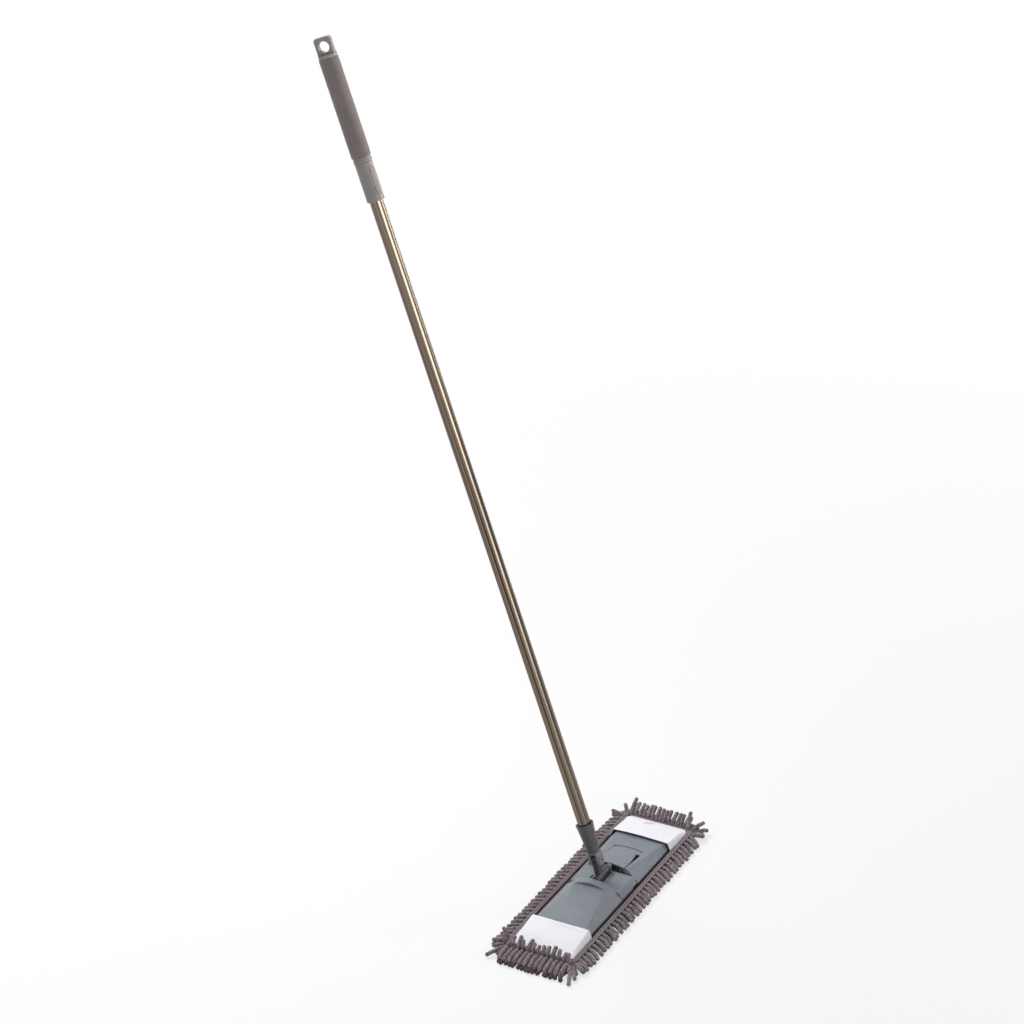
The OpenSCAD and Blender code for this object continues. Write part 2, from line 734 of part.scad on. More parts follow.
module far_ribs() {
  for (s = [-1, 1])
    slab_y([[pedal_rear_x + wall, plate_z0], [mouth_x + rib_y, plate_z0],
      [mouth_x + rib_y, near_top(-mouth_x - rib_y) - wall / 2], [mouth_x, mouth_z - wall / 2],
      [pedal_rear_x + wall, mouth_z - wall / 2]],
      s * rib_y - rib_t / 2, s * rib_y + rib_t / 2);
  cross_x = (pedal_rear_x + mouth_x) / 2;
  box([cross_x, -half_w + wall / 2, plate_z0], [cross_x + rib_t, half_w - wall / 2, plate_z0 + lip_h]);
}

module far_wing() {
  well_top = [[far_x0, plate_z0], [pedal_rear_x, plate_z0], [pedal_rear_x, mouth_z],
    [slot_far_x, far_mid_z - wall / 2], [far_x0, ridge_z - wall / 2]];
  color(plate_col)
    difference() {
      union() {
        difference() {
          far_shell();
          well(pedal_gap);
          fold_cut(fold_relief_r);
        }
        far_ribs();
        difference() {
          for (y = [well_y, -well_wall_y])
            slab_y(well_top, y, y + wall);
          fold_cut(fold_relief_r);
        }
        for (y = [well_wall_y - wall / 2, -pin_end_y])
          rod_y(pedal_pin_x, pedal_pin_z, pedal_boss_r, y, y + 1.5 * wall);
        box([spring_x - seat_l / 2, -well_wall_y, plate_z0],
          [spring_x + seat_l / 2, well_wall_y, seat_z]);
        translate([spring_x, 0, seat_z - seat_t / 2])
          cylinder(r = peg_r, h = peg_h + seat_t / 2);
        for (y = [knuckle_y + knuckle_l + knuckle_gap, -knuckle_y - 2 * knuckle_l - knuckle_gap])
          knuckle(far_x0 - wall / 2, far_x0 + 1.5 * wall, y);
      }
      fold_cut(fold_pin_r + run_gap);
      rod_y(pedal_pin_x, pedal_pin_z, pedal_pin_r + fix_gap, -pin_end_y, pin_end_y);
    }
}

module fold_pins() {
  color(zinc_col)
    for (y = [knuckle_y, -knuckle_y - 2 * knuckle_l - knuckle_gap])
      rod_y(fold_x, fold_z, fold_pin_r, y, y + 2 * knuckle_l + knuckle_gap);
}

module axle_pin() {
  color(zinc_col)
    rod_x(0, axle_z, axle_r, axle_near_x + fix_gap, hub_far_x - fix_gap);
}

// Pedal

module pedal_body(hw, dz, x0, z0, dip) {
  mid_drop = mix(pedal_drop, pedal_rear_drop, crown_share);
  loft(refined([
    [x0, arch_section(hw, pedal_z - pedal_drop - dz, pedal_z - dz, pedal_z - pedal_drop - skirt_h - dip)],
    [crease_x, arch_section(hw, crease_z - pedal_drop - dz, crease_z - dz,
      crease_z - pedal_drop - skirt_h - dip)],
    [pedal_mid_x, arch_section(hw, pedal_mid_z - mid_drop - dz, pedal_mid_z - dz,
      pedal_mid_z - mid_drop - skirt_h - dip)],
    [pedal_rear_x + z0, arch_section(hw, pedal_rear_z - pedal_rear_drop - dz, pedal_rear_z - dz,
      pedal_rear_z - pedal_rear_drop - skirt_h - dip)]]));
}

module pedal() {
  arm_x = pedal_x + 2 * pedal_t;
  side_y = -pedal_w / 2;
  color(plate_col)
    difference() {
      union() {
        intersection() {
          difference() {
            pedal_body(pedal_w / 2, 0, pedal_x, over, 0);
            pedal_body(pedal_w / 2 - pedal_t, pedal_t, pedal_x - over, 0, over);
            translate([0, 0, plate_z0])
              linear_extrude(2 * ridge_z)
                polygon([[pedal_x - over, side_y - over], [slot_far_x, side_y - over],
                  [slot_far_x, side_y + slot_d], [slot_x, side_y + side_cut],
                  [pedal_x - over, side_y + side_cut]]);
          }
          well(0);
        }
        for (y = [latch_y, -latch_y - latch_w]) {
          box([arm_x, y, latch_z], [arm_x + pedal_t, y + latch_w, pedal_z - pedal_drop]);
          box([hub_far_x - latch_reach, y, latch_z], [arm_x + pedal_t, y + latch_w, latch_z + latch_h]);
        }
        for (y = [pedal_w / 2 - pedal_boss_l, -pedal_w / 2])
          rod_y(pedal_pin_x, pedal_pin_z, pedal_boss_r, y, y + pedal_boss_l);
      }
      rod_y(pedal_pin_x, pedal_pin_z, pedal_pin_r + run_gap, -pedal_w, pedal_w);
    }
}

module pedal_pin() {
  color(zinc_col)
    rod_y(pedal_pin_x, pedal_pin_z, pedal_pin_r, -pin_end_y + fix_gap, pin_end_y - fix_gap);
}

// One unbroken wire: eight rings to a curl, six sides to a ring.
spring_rings = floor(8 * spring_curls);
coil_r = spring_r - wire_r;
function coil(i) = [spring_x + coil_r * cos(45 * i), coil_r * sin(45 * i),
  seat_z + soft_gap + wire_r + (spring_h - 2 * wire_r) * i / spring_rings];
coil_points = [for (i = [0 : spring_rings]) coil(i)];
spring_self_gap = min([for (i = [0 : spring_rings]) for (j = [i + 5 : 1 : spring_rings])
  norm(coil_points[i] - coil_points[j])]) - 2 * wire_r;
echo(spring_self_gap_mm = spring_self_gap);

module pedal_spring() {
  n = 6;
  points = [for (i = [0 : spring_rings]) for (k = [0 : n - 1])
    let(out = [cos(45 * i), sin(45 * i), 0])
    coil_points[i] + wire_r * (cos(360 * k / n) * out + sin(360 * k / n) * [0, 0, 1])];
  sides = [for (i = [0 : spring_rings - 1]) for (k = [0 : n - 1])
    let(a = i * n + k, b = i * n + (k + 1) % n, c = a + n, d = b + n)
    each [[a, b, d], [a, d, c]]];
  first = [for (k = [1 : n - 2]) [0, k + 1, k]];
  last = [for (k = [1 : n - 2]) spring_rings * n * [1, 1, 1] + [0, k, k + 1]];
  color(zinc_col)
    polyhedron(points = points, faces = concat(sides, first, last));
}

// Swivel

module swivel_block() {
  head = stem_head_w / 2;
  color(dark_col)
    on_handle()
      difference() {
        union() {
          rod_x(0, 0, barrel_r, -barrel_l / 2, barrel_l / 2);
          translate([0, stem_t / 2, 0])
            rotate([90, 0, 0])
              linear_extrude(stem_t) {
                polygon([[-stem_w / 2, 0], [stem_far_x, 0], [head, stem_h], [-head, stem_h]]);
                translate([-head, stem_h - over])
                  square([stem_head_w, stem_head_h - stem_head_r + over]);
                translate([-head + stem_head_r, stem_h])
                  square([stem_head_w - 2 * stem_head_r, stem_head_h]);
                for (s = [-1, 1])
                  translate([s * (head - stem_head_r), stem_h + stem_head_h - stem_head_r])
                    circle(stem_head_r);
              }
        }
        rod_x(0, 0, axle_r + run_gap, -barrel_l, barrel_l);
        rod_y(0, stem_h, fork_pin_r + fix_gap, -stem_t, stem_t);
        rod_x(0, stem_h, dimple_r, -head - over, -head + dimple_d);
      }
}

module fork_pin() {
  reach = ear_y + ear_t + ear_boss_h / 2;
  color(zinc_col)
    on_handle()
      rod_y(0, stem_h, fork_pin_r, -reach, reach);
}

// Fork and socket

module fork() {
  base_s = stem_h + crotch_h;
  ear_out = ear_y + ear_t;
  color(dark_col)
    on_handle()
      difference() {
        union() {
          for (y = [ear_y, -ear_out]) {
            rod_y(0, stem_h, ear_r, y, y + ear_t);
            box([-ear_r, y, stem_h], [ear_r, y + ear_t, base_s + fork_base_t]);
          }
          for (y = [ear_out, -ear_out - ear_boss_h])
            rod_y(0, stem_h, ear_boss_r, y, y + ear_boss_h);
          box([-ear_r, -ear_out, base_s], [ear_r, ear_out, base_s + fork_base_t]);
          translate([0, 0, base_s + fork_base_t / 2])
            cylinder(r = spigot_r, h = spigot_l + fork_base_t / 2);
        }
        rod_y(0, stem_h, fork_pin_r + run_gap, -2 * ear_out, 2 * ear_out);
        // The base is rounded to the socket's lower end.
        difference() {
          translate([0, 0, base_s + fork_base_t / 2 + over / 2])
            cylinder(r = 2 * socket_r, h = fork_base_t);
          translate([0, 0, base_s])
            cylinder(r = socket_low_r, h = 2 * fork_base_t);
        }
      }
}

module socket() {
  slope = (socket_r - socket_low_r) / socket_l;
  groove_r = socket_low_r + slope * ring_groove_h - ring_groove_d;
  color(dark_col)
    on_handle()
      difference() {
        union() {
          translate([0, 0, socket_s0])
            cylinder(r1 = socket_low_r, r2 = socket_r, h = socket_l);
          translate([0, 0, socket_s1 - rim_h])
            cylinder(r = socket_r + rim_out, h = rim_h);
        }
        translate([0, 0, socket_s0 - over])
          cylinder(r = spigot_r + fix_gap, h = spigot_l + over + soft_gap);
        translate([0, 0, tube_s0 - soft_gap])
          cylinder(r = tube_r + fix_gap, h = tube_seat + over);
        translate([0, 0, socket_s1 - mouth_gap_d])
          cylinder(r = tube_r + mouth_gap, h = mouth_gap_d + over);
        translate([0, 0, socket_s0 + ring_groove_h])
          difference() {
            cylinder(r = 2 * socket_r, h = ring_groove_w);
            translate([0, 0, -over])
              cylinder(r = groove_r, h = ring_groove_w + 2 * over);
          }
      }
}

// Handle

module lower_tube() {
  color(steel_col)
    on_handle()
      tube(tube_r, tube_t, tube_s0, tube_s1);
}

module lock_collar() {
  color(cap_col)
    on_handle()
      difference() {
        union() {
          translate([0, 0, collar_s])
            cylinder(r = collar_r, h = collar_l);
          rotate([0, 0, collar_turn])
            box([-collar_rib_w / 2, -collar_r - collar_rib_h, collar_s + (collar_l - collar_rib_l) / 2],
              [collar_rib_w / 2, -collar_r + collar_rib_w / 2, collar_s + (collar_l + collar_rib_l) / 2]);
        }
        translate([0, 0, collar_s - over])
          cylinder(r = tube_r + fix_gap, h = collar_seat + over + soft_gap);
        translate([0, 0, collar_s])
          cylinder(r = inner_r + run_gap, h = collar_l + over);
      }
}

module inner_tube() {
  color(steel_col)
    on_handle()
      tube(inner_r, inner_t, inner_s0, inner_s1);
}

// Twist lock: an eccentric on the inner tube's plug turns inside a cam that can't turn.
module lock_plug() {
  neck = plug_h / 3;
  low_r = inner_r - inner_t / 2;
  color(cap_col)
    on_handle() {
      translate([0, 0, inner_s0])
        cylinder(r = inner_r - inner_t - fix_gap, h = plug_h - neck);
      translate([0, 0, inner_s0 - neck / 2])
        cylinder(r = low_r, h = neck / 2);
      translate([cam_offset, 0, inner_s0 - neck / 2 - cam_h - 2 * soft_gap])
        cylinder(r = cam_core_r, h = cam_h + 2 * soft_gap);
      translate([0, 0, inner_s0 - neck - cam_h - 2 * soft_gap])
        cylinder(r = low_r, h = neck / 2);
    }
}

module lock_cam() {
  neck = plug_h / 3;
  s0 = inner_s0 - neck / 2 - cam_h - soft_gap;
  color(plate_col)
    on_handle()
      difference() {
        translate([0, 0, s0])
          cylinder(r = tube_r - tube_t - cam_gap, h = cam_h);
        translate([0, 0, s0 - over])
          cylinder(r = cam_core_r + cam_offset + run_gap, h = cam_h + 2 * over);
      }
}

module grip_ring() {
  color(cap_col)
    on_handle()
      difference() {
        union() {
          translate([0, 0, ring_s0])
            cylinder(r = ring_r, h = ring_h * crown_share);
          translate([0, 0, ring_s0])
            cylinder(r = ring_low_r, h = ring_h);
        }
        translate([0, 0, ring_s0 - over])
          cylinder(r = inner_r + fix_gap, h = ring_h + 2 * over);
      }
}

module foam_grip() {
  color(grip_col)
    on_handle()
      rotate_extrude($fn = 96)
        difference() {
          union() {
            translate([inner_r + fix_gap, grip_s0])
              square([grip_r - grip_round - inner_r - fix_gap, grip_l]);
            translate([inner_r + fix_gap, grip_s0 + grip_round])
              square([grip_r - inner_r - fix_gap, grip_l - 2 * grip_round]);
            for (s = [grip_s0 + grip_round, grip_s1 - grip_round])
              translate([grip_r - grip_round, s])
                circle(grip_round);
          }
        }
}

module hang_cap() {
  tab_z = grip_s1 + flange_h;
  color(cap_col)
    on_handle()
      rotate([0, 0, tab_turn])
        difference() {
          union() {
            translate([0, 0, grip_s1])
              cylinder(r = flange_r, h = flange_h);
            translate([0, 0, grip_s1 - cap_plug_l])
              cylinder(r = cap_plug_r, h = cap_plug_l + flange_h / 2);
            translate([0, tab_t / 2, 0])
              rotate([90, 0, 0])
                linear_extrude(tab_t) {
                  translate([-tab_w / 2, tab_z - flange_h / 2])
                    square([tab_w, tab_h - tab_round + flange_h / 2]);
                  translate([-tab_w / 2 + tab_round, tab_z])
                    square([tab_w - 2 * tab_round, tab_h]);
                  for (s = [-1, 1])
                    translate([s * (tab_w / 2 - tab_round), tab_z + tab_h - tab_round])
                      circle(tab_round);
                }
          }
          rod_y(0, tab_z + hang_h, hang_r, -tab_t, tab_t);
        }
}

// Soft pieces of the pad

// The pad's field inside the edge strips, between two positions along the plate.
module field(x0, x1, z0, z1) {
  intersection() {
    translate([0, 0, z0])
      linear_extrude(z1 - z0)
        round_rect(field_x, field_y, field_r);
    box([x0, -pad_w, z0 - over], [x1, pad_w, z1 + over]);
  }
}

module sole_near() {
  color(yarn_col)
    field(-pad_l, bend_x - soft_gap, 0, sole_h);
}

module sole_far() {
  color(yarn_col)
    field(bend_far_x, pad_l, 0, sole_h);
}

module backing_near() {
  color(tape_col)
    field(-pad_l, bend_x - soft_gap, backing_z0, backing_z1);
}

module backing_far() {
  color(tape_col)
    field(bend_far_x, pad_l, backing_z0, backing_z1);
}

// Cloth pocket over a wing tip: dir is 1 for the far wing and -1 for the near wing.
module pocket(dir) {
  end_x = pad_l / 2 - binding_w - pocket_end_gap;
  corner_x = end_x - pocket_corner;
  corner_z = mix(pocket_bend_z, pocket_end_z, (corner_x - pocket_bend_x) / (end_x - pocket_bend_x));
  end_y = pocket_y - pocket_corner;
  end_top = pocket_top_w / 2 - pocket_corner;
  z0 = binding_z0;
  color(cloth_col)
    mirror([dir < 0 ? 1 : 0, 0, 0])
      difference() {
        loft([
          [mouth_x, wing_section(pocket_y, pocket_top_w / 2, pocket_z, z0, lip_h)],
          [pocket_bend_x, wing_section(pocket_y, pocket_top_w / 2, pocket_bend_z, z0, lip_h)],
          [corner_x, wing_section(pocket_y, pocket_top_w / 2, corner_z, z0, lip_h / 2)],
          [end_x, wing_section(end_y, end_top, pocket_end_z, z0, lip_h / 2)]]);
        loft([
          [mouth_x - over, wing_section(pocket_y - cloth_t, pocket_top_w / 2 - cloth_t,
            pocket_z - cloth_t, z0 - over, lip_h + over)],
          [mouth_x, wing_section(pocket_y - cloth_t, pocket_top_w / 2 - cloth_t,
            pocket_z - cloth_t, z0 - over, lip_h + over)],
          [pocket_bend_x, wing_section(pocket_y - cloth_t, pocket_top_w / 2 - cloth_t,
            pocket_bend_z - cloth_t, z0 - over, lip_h + over)],
          [corner_x, wing_section(pocket_y - cloth_t, pocket_top_w / 2 - cloth_t,
            corner_z - cloth_t, z0 - over, lip_h / 2 + over)],
          [end_x - cloth_t, wing_section(end_y - cloth_t / 2, end_top - cloth_t / 2,
            pocket_end_z - cloth_t, z0 - over, lip_h / 2 + over)]]);
      }
}

module pocket_near() {
  pocket(-1);
}

module pocket_far() {
  pocket(1);
}

module ring_outline(out_x, out_y, w, r) {
  difference() {
    round_rect(out_x, out_y, r);
    round_rect(out_x - w, out_y - w, max(r - w, w / 4));
  }
}

module binding(x0, x1) {
  mid_w = (binding_w - binding_groove_w) / 2;
  color(tape_col)
    intersection() {
      difference() {
        translate([0, 0, binding_z0])
          linear_extrude(binding_h)
            ring_outline(pad_l / 2, pad_w / 2, binding_w, pad_corner_r);
        translate([0, 0, binding_z0 + binding_h - binding_groove_d])
          linear_extrude(binding_groove_d + over)
            ring_outline(pad_l / 2 - mid_w, pad_w / 2 - mid_w, binding_groove_w, pad_corner_r - mid_w);
      }
      box([x0, -pad_w, 0], [x1, pad_w, 2 * ridge_z]);
    }
}

module binding_near() {
  binding(-pad_l, bend_x - soft_gap);
}

module binding_far() {
  binding(bend_far_x, pad_l);
}

module binding_bend() {
  binding(bend_x, bend_far_x - soft_gap);
}

// One noodle along a list of points, with a square section of the given half widths.
// The vector e points along the edge that the noodle grows from.
module noodle(path, radii, e) {
  n = len(path);
  dirs = [for (i = [0 : n - 1])
    let(d = path[min(i + 1, n - 1)] - path[max(i - 1, 0)]) d / norm(d)];
  points = [for (i = [0 : n - 1])
    let(u = cross(dirs[i], e), v = u / norm(u), w = cross(v, dirs[i]))
    each [for (c = [[1, 1], [1, -1], [-1, -1], [-1, 1]]) path[i] + radii[i] * (c[0] * w + c[1] * v)]];
  sides = [for (i = [0 : n - 2]) for (k = [0 : 3])
    let(a = i * 4 + k, b = i * 4 + (k + 1) % 4, c = a + 4, d = b + 4)
    each [[a, b, d], [a, d, c]]];
  m = (n - 1) * 4;
  polyhedron(points = points,
    faces = concat(sides, [[0, 2, 1], [0, 3, 2]], [[m, m + 1, m + 2], [m, m + 2, m + 3]]));
}

function stray(i) = sin(stray_step * i);
// Shares of a noodle's half width at its root, elbow, middle and tip
noodle_shares = [0.9, 1, 1, 0.72];
reach_shares = [0, 0.12, 0.55, 1];

// A noodle that lies outwards from p, along the level direction dir, and sinks to its tip.
module lying_noodle(p, dir, e, r, reach, tip_z, i) {
  side = noodle_stray * stray(i);
  long = reach * (1 + noodle_shares[3] * stray(2 * i) / 10);
  path = [for (k = [0 : 3])
    k == 0 ? p - noodle_root * dir
      : p + long * reach_shares[k] * dir + side * reach_shares[k] * e
        + [0, 0, mix(0, tip_z - p[2], reach_shares[k] * reach_shares[k])]];
  noodle(path, r * noodle_shares, e);
}

// A noodle that bows outwards from p and then stands up past the binding.
module standing_noodle(p, dir, e, r, lean_in, i) {
  side = noodle_stray * stray(i);
  rise = end_rise_z - p[2];
  path = [p - noodle_root * dir, p + (end_bow / 2) * dir,
    p + end_bow * dir + side / 2 * e + [0, 0, rise * reach_shares[2]],
    p + (end_bow - lean_in) * dir + side * e + [0, 0, rise * (1 + stray(2 * i) / 10)]];
  noodle(path, r * noodle_shares, e);
}

module edge_strip(a, b) {
  intersection() {
    translate([0, 0, edge_z])
      linear_extrude(backing_z1 - edge_z)
        ring_outline(edge_out_x, edge_out_y, edge_w, edge_r);
    box(a, b);
  }
}

side_end_x = edge_out_x - edge_r;

module fringe_side(x0, x1, s, seed) {
  count = floor((x1 - x0 - 2 * noodle_r) / noodle_pitch);
  first = (x0 + x1 - count * noodle_pitch) / 2;
  color(yarn_col)
    union() {
      edge_strip([x0, s > 0 ? 0 : -pad_w, 0], [x1, s > 0 ? pad_w : 0, 2 * ridge_z]);
      for (i = [0 : count])
        lying_noodle([first + i * noodle_pitch, s * edge_out_y, noodle_root_z], [0, s, 0], [1, 0, 0],
          noodle_r, noodle_reach, noodle_tip_z, i + seed);
    }
}

module fringe_end(s, lean_in, seed) {
  half = (noodle_end_n - 1) / 2;
  color(yarn_col)
    union() {
      edge_strip([s > 0 ? side_end_x : -pad_l, -pad_w, 0], [s > 0 ? pad_l : -side_end_x, pad_w, 2 * ridge_z]);
      for (i = [-half : half])
        lying_noodle([s * edge_out_x, i * noodle_end_pitch, end_low_z], [s, 0, 0], [0, 1, 0],
          noodle_end_r, noodle_reach, noodle_tip_z, i + half + seed);
      for (i = [-half : half - 1])
        standing_noodle([s * edge_out_x, (i + 0.5) * noodle_end_pitch, end_high_z], [s, 0, 0],
          [0, 1, 0], noodle_end_r, lean_in, i + half + 2 * seed);
      for (t = [-1, 1])
        for (k = [0 : corner_n - 1])
          let(turn = 90 * (k + 0.72) / (corner_n + 0.47), dir = [s * cos(turn), t * sin(turn), 0])
          lying_noodle([s * side_end_x, t * (edge_out_y - edge_r), noodle_root_z] + edge_r * dir, dir,
            [-dir[1], dir[0], 0], noodle_end_r, noodle_reach, noodle_tip_z, k + seed);
    }
}

module pad_bend() {
  color(yarn_col)
    union() {
      box([bend_x, -field_y, edge_z], [bend_far_x - soft_gap, field_y, backing_z1]);
      for (s = [-1, 1]) {
        box([bend_x, s > 0 ? field_y - over : -edge_out_y, edge_z],
          [bend_far_x - soft_gap, s > 0 ? edge_out_y : -field_y + over, backing_z1]);
        lying_noodle([(bend_x + bend_far_x) / 2, s * edge_out_y, noodle_root_z], [0, s, 0], [1, 0, 0],
          noodle_r, noodle_reach, noodle_tip_z, 5 + s);
      }
    }
}

module fringe_near_left() {
  fringe_side(-side_end_x + seat_gap, bend_x - soft_gap, 1, 0);
}

module fringe_near_right() {
  fringe_side(-side_end_x + seat_gap, bend_x - soft_gap, -1, 7);
}

module fringe_near_end() {
  fringe_end(-1, end_lean_near, 3);
}

module fringe_far_left() {
  fringe_side(bend_far_x, side_end_x - seat_gap, 1, 11);
}

module fringe_far_right() {
  fringe_side(bend_far_x, side_end_x - seat_gap, -1, 17);
}

module fringe_far_end() {
  fringe_end(1, end_lean_far, 5);
}

near_wing();
far_wing();
pedal();
pedal_pin();
pedal_spring();
fold_pins();
axle_pin();
swivel_block();
fork_pin();
fork();
socket();
lower_tube();
lock_collar();
lock_cam();
lock_plug();
inner_tube();
grip_ring();
foam_grip();
hang_cap();
sole_near();
sole_far();
backing_near();
backing_far();
pocket_near();
pocket_far();
binding_near();
binding_far();
binding_bend();
pad_bend();
fringe_near_left();
fringe_near_right();
fringe_near_end();
fringe_far_left();
fringe_far_right();
fringe_far_end();
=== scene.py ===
import math
import random

import bpy
from mathutils import Matrix, Vector, noise


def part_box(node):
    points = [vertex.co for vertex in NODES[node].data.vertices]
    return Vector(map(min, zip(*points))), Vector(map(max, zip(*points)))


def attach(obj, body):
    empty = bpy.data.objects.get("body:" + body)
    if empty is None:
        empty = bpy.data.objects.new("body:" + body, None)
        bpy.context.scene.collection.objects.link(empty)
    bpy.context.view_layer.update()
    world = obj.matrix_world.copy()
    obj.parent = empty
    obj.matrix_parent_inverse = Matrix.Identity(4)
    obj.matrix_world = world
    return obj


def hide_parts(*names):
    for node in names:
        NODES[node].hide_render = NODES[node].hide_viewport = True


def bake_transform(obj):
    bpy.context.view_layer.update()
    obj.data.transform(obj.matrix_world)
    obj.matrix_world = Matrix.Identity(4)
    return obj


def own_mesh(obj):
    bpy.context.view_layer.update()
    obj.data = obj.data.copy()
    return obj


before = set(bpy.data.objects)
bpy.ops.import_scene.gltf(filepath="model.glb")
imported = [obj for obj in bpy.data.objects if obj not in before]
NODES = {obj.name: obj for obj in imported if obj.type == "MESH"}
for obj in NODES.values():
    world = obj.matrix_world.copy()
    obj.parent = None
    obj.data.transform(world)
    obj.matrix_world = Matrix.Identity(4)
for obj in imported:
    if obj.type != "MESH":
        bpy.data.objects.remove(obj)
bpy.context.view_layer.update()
scene = bpy.context.scene

# Sizes in millimetres, as in part.scad
MM = 0.001
PAD_X, PAD_Y, PAD_R = 230.0, 65.0, 14.0
EDGE_X, EDGE_Y, EDGE_R = 229.0, 64.0, 13.0
BEND_X0, BEND_X1 = 15.4, 32.2
BINDING_Z, BINDING_W = 12.6, 8.0
BACKING_Z = 12.4
LEAN = math.radians(20)
AXLE = Vector((0, 0, 35.5))
ALONG = Vector((0, math.sin(LEAN), math.cos(LEAN)))

# The halves of the head, with the body and the direction along x of each, and its two long sides
HALVES = (("near", "head", -1), ("far", "fold_wing", 1))
SIDES = (("left", 1), ("right", -1))

# Where the two halves of the pad stop beside the bend
NEAR_STOP, FAR_START = BEND_X0 - 0.2, BEND_X1 + 0.1


# Shader nodes
def put(tree, socket, value):
    """A value, or the output of another node, into a socket."""
    if hasattr(value, "is_output"):
        tree.links.new(value, socket)
    else:
        socket.default_value = value


def add_node(tree, kind, values=(), **settings):
    """A new node with its settings; values fills its inputs, by name or by number."""
    node = tree.nodes.new(kind)
    for key, value in settings.items():
        setattr(node, key, value)
    for key, value in dict(values).items():
        put(tree, node.inputs[key], value)
    return node


def calc(tree, operation, a, b):
    return add_node(tree, "ShaderNodeMath", {0: a, 1: b}, operation=operation).outputs[0]


def map_range(tree, value, low, high, to_low, to_high):
    """value, from low..high to to_low..to_high, and no further."""
    values = {"Value": value, "From Min": low, "From Max": high, "To Min": to_low, "To Max": to_high}
    return add_node(tree, "ShaderNodeMapRange", values).outputs[0]


class Shader:
    """A principled material with short calls for its nodes. Scales are features to the metre."""

    def __init__(self, name, colour, rough, metallic=0.0):
        self.mat = bpy.data.materials.new(name)
        self.mat.use_nodes = True
        self.tree = self.mat.node_tree
        self.out = self.tree.nodes["Principled BSDF"]
        self.set("Base Color", colour)
        self.set("Roughness", rough)
        self.set("Metallic", metallic)

    def set(self, socket, value):
        put(self.tree, self.out.inputs[socket], value)

    def add(self, kind, values=(), **settings):
        return add_node(self.tree, kind, values, **settings)

    def coords(self):
        return self.add("ShaderNodeTexCoord").outputs["Object"]

    def along(self, wide, long):
        """Coordinates that run along the handle, with features so many millimetres wide and long."""
        scale = (wide * MM, wide * MM, long * MM)
        values = {"Vector": self.coords(), "Rotation": (-LEAN, 0, 0), "Scale": scale}
        return self.add("ShaderNodeMapping", values, vector_type="TEXTURE").outputs[0]

    def noise(self, vector, scale, detail=3.0, rough=0.55):
        values = {"Vector": vector, "Scale": scale, "Detail": detail, "Roughness": rough}
        return self.add("ShaderNodeTexNoise", values).outputs["Fac"]

    def cells(self, vector, scale):
        return self.add("ShaderNodeTexVoronoi", {"Vector": vector, "Scale": scale}).outputs["Distance"]

    def ramp(self, fac, stops):
        node = self.add("ShaderNodeValToRGB", {"Fac": fac})
        elements = node.color_ramp.elements
        while len(elements) < len(stops):
            elements.new(0.5)
        for element, (at, colour) in zip(elements, stops):
            element.position = at
            element.color = colour
        return node.outputs["Color"]

    def calc(self, operation, a, b):
        return calc(self.tree, operation, a, b)

    def mix(self, fac, a, b):
        return self.add("ShaderNodeMix", {0: fac, 6: a, 7: b}, data_type="RGBA").outputs[2]

    def spread(self, fac, low, high):
        """fac, a noise about 0.5, spread to low..high."""
        return map_range(self.tree, fac, 0.3, 0.7, low, high)

    def bump(self, height, distance, strength, normal=None):
        """A bump distance metres high, on top of another bump where normal is given."""
        values = {"Height": height, "Distance": distance, "Strength": strength}
        if normal is not None:
            values["Normal"] = normal
        return self.add("ShaderNodeBump", values).outputs[0]


# Materials
def lin(r, g, b):
    """An sRGB colour, 0 to 255, as the linear colour that a shader takes."""
    def one(c):
        c /= 255
        return c / 12.92 if c <= 0.04045 else ((c + 0.055) / 1.055) ** 2.4
    return (one(r), one(g), one(b), 1)


def shade(colour, k):
    """The colour made k times as bright."""
    return tuple(min(1.0, c * k) for c in colour[:3]) + (1,)


def paler_edges(s, colour, lighter):
    """Paler where an edge stands out."""
    pointed = s.add("ShaderNodeNewGeometry").outputs["Pointiness"]
    return s.mix(map_range(s.tree, pointed, 0.53, 0.62, 0.0, 0.5), colour, lighter)


def plastic(name, colour, rough, grain):
    """Moulded plastic with a grain so many millimetres deep."""
    s = Shader(name, colour, rough)
    p = s.coords()
    broad = s.noise(p, 22.0)
    fine = s.noise(p, 1500.0, 2.0, 0.6)
    tint = s.ramp(broad, [(0.3, shade(colour, 0.92)), (0.7, shade(colour, 1.08))])
    tint = s.mix(s.spread(fine, 0.0, 0.14), tint, shade(colour, 1.25))
    s.set("Base Color", paler_edges(s, tint, shade(colour, 1.5)))
    s.set("Roughness", s.spread(s.noise(p, 60.0, 4.0), rough - 0.06, rough + 0.07))
    swell = s.bump(broad, 0.00025, 0.4)
    s.set("Normal", s.bump(fine, grain * MM, 0.8, swell))
    s.set("Specular IOR Level", 0.42)
    return s.mat


def steel(name, dark, pale, rough):
    """Drawn steel: streaks along the handle, with faint rub marks."""
    s = Shader(name, dark, rough, 1.0)
    streak = s.noise(s.along(2.0, 900.0), 1.0, 2.0, 0.6)
    rub = s.noise(s.along(4.0, 60.0), 1.0)
    s.set("Base Color", s.ramp(streak, [(0.34, dark), (0.66, pale)]))
    s.set("Roughness", s.spread(rub, rough - 0.05, rough + 0.06))
    s.set("Normal", s.bump(streak, 0.000001, 0.3))
    return s.mat


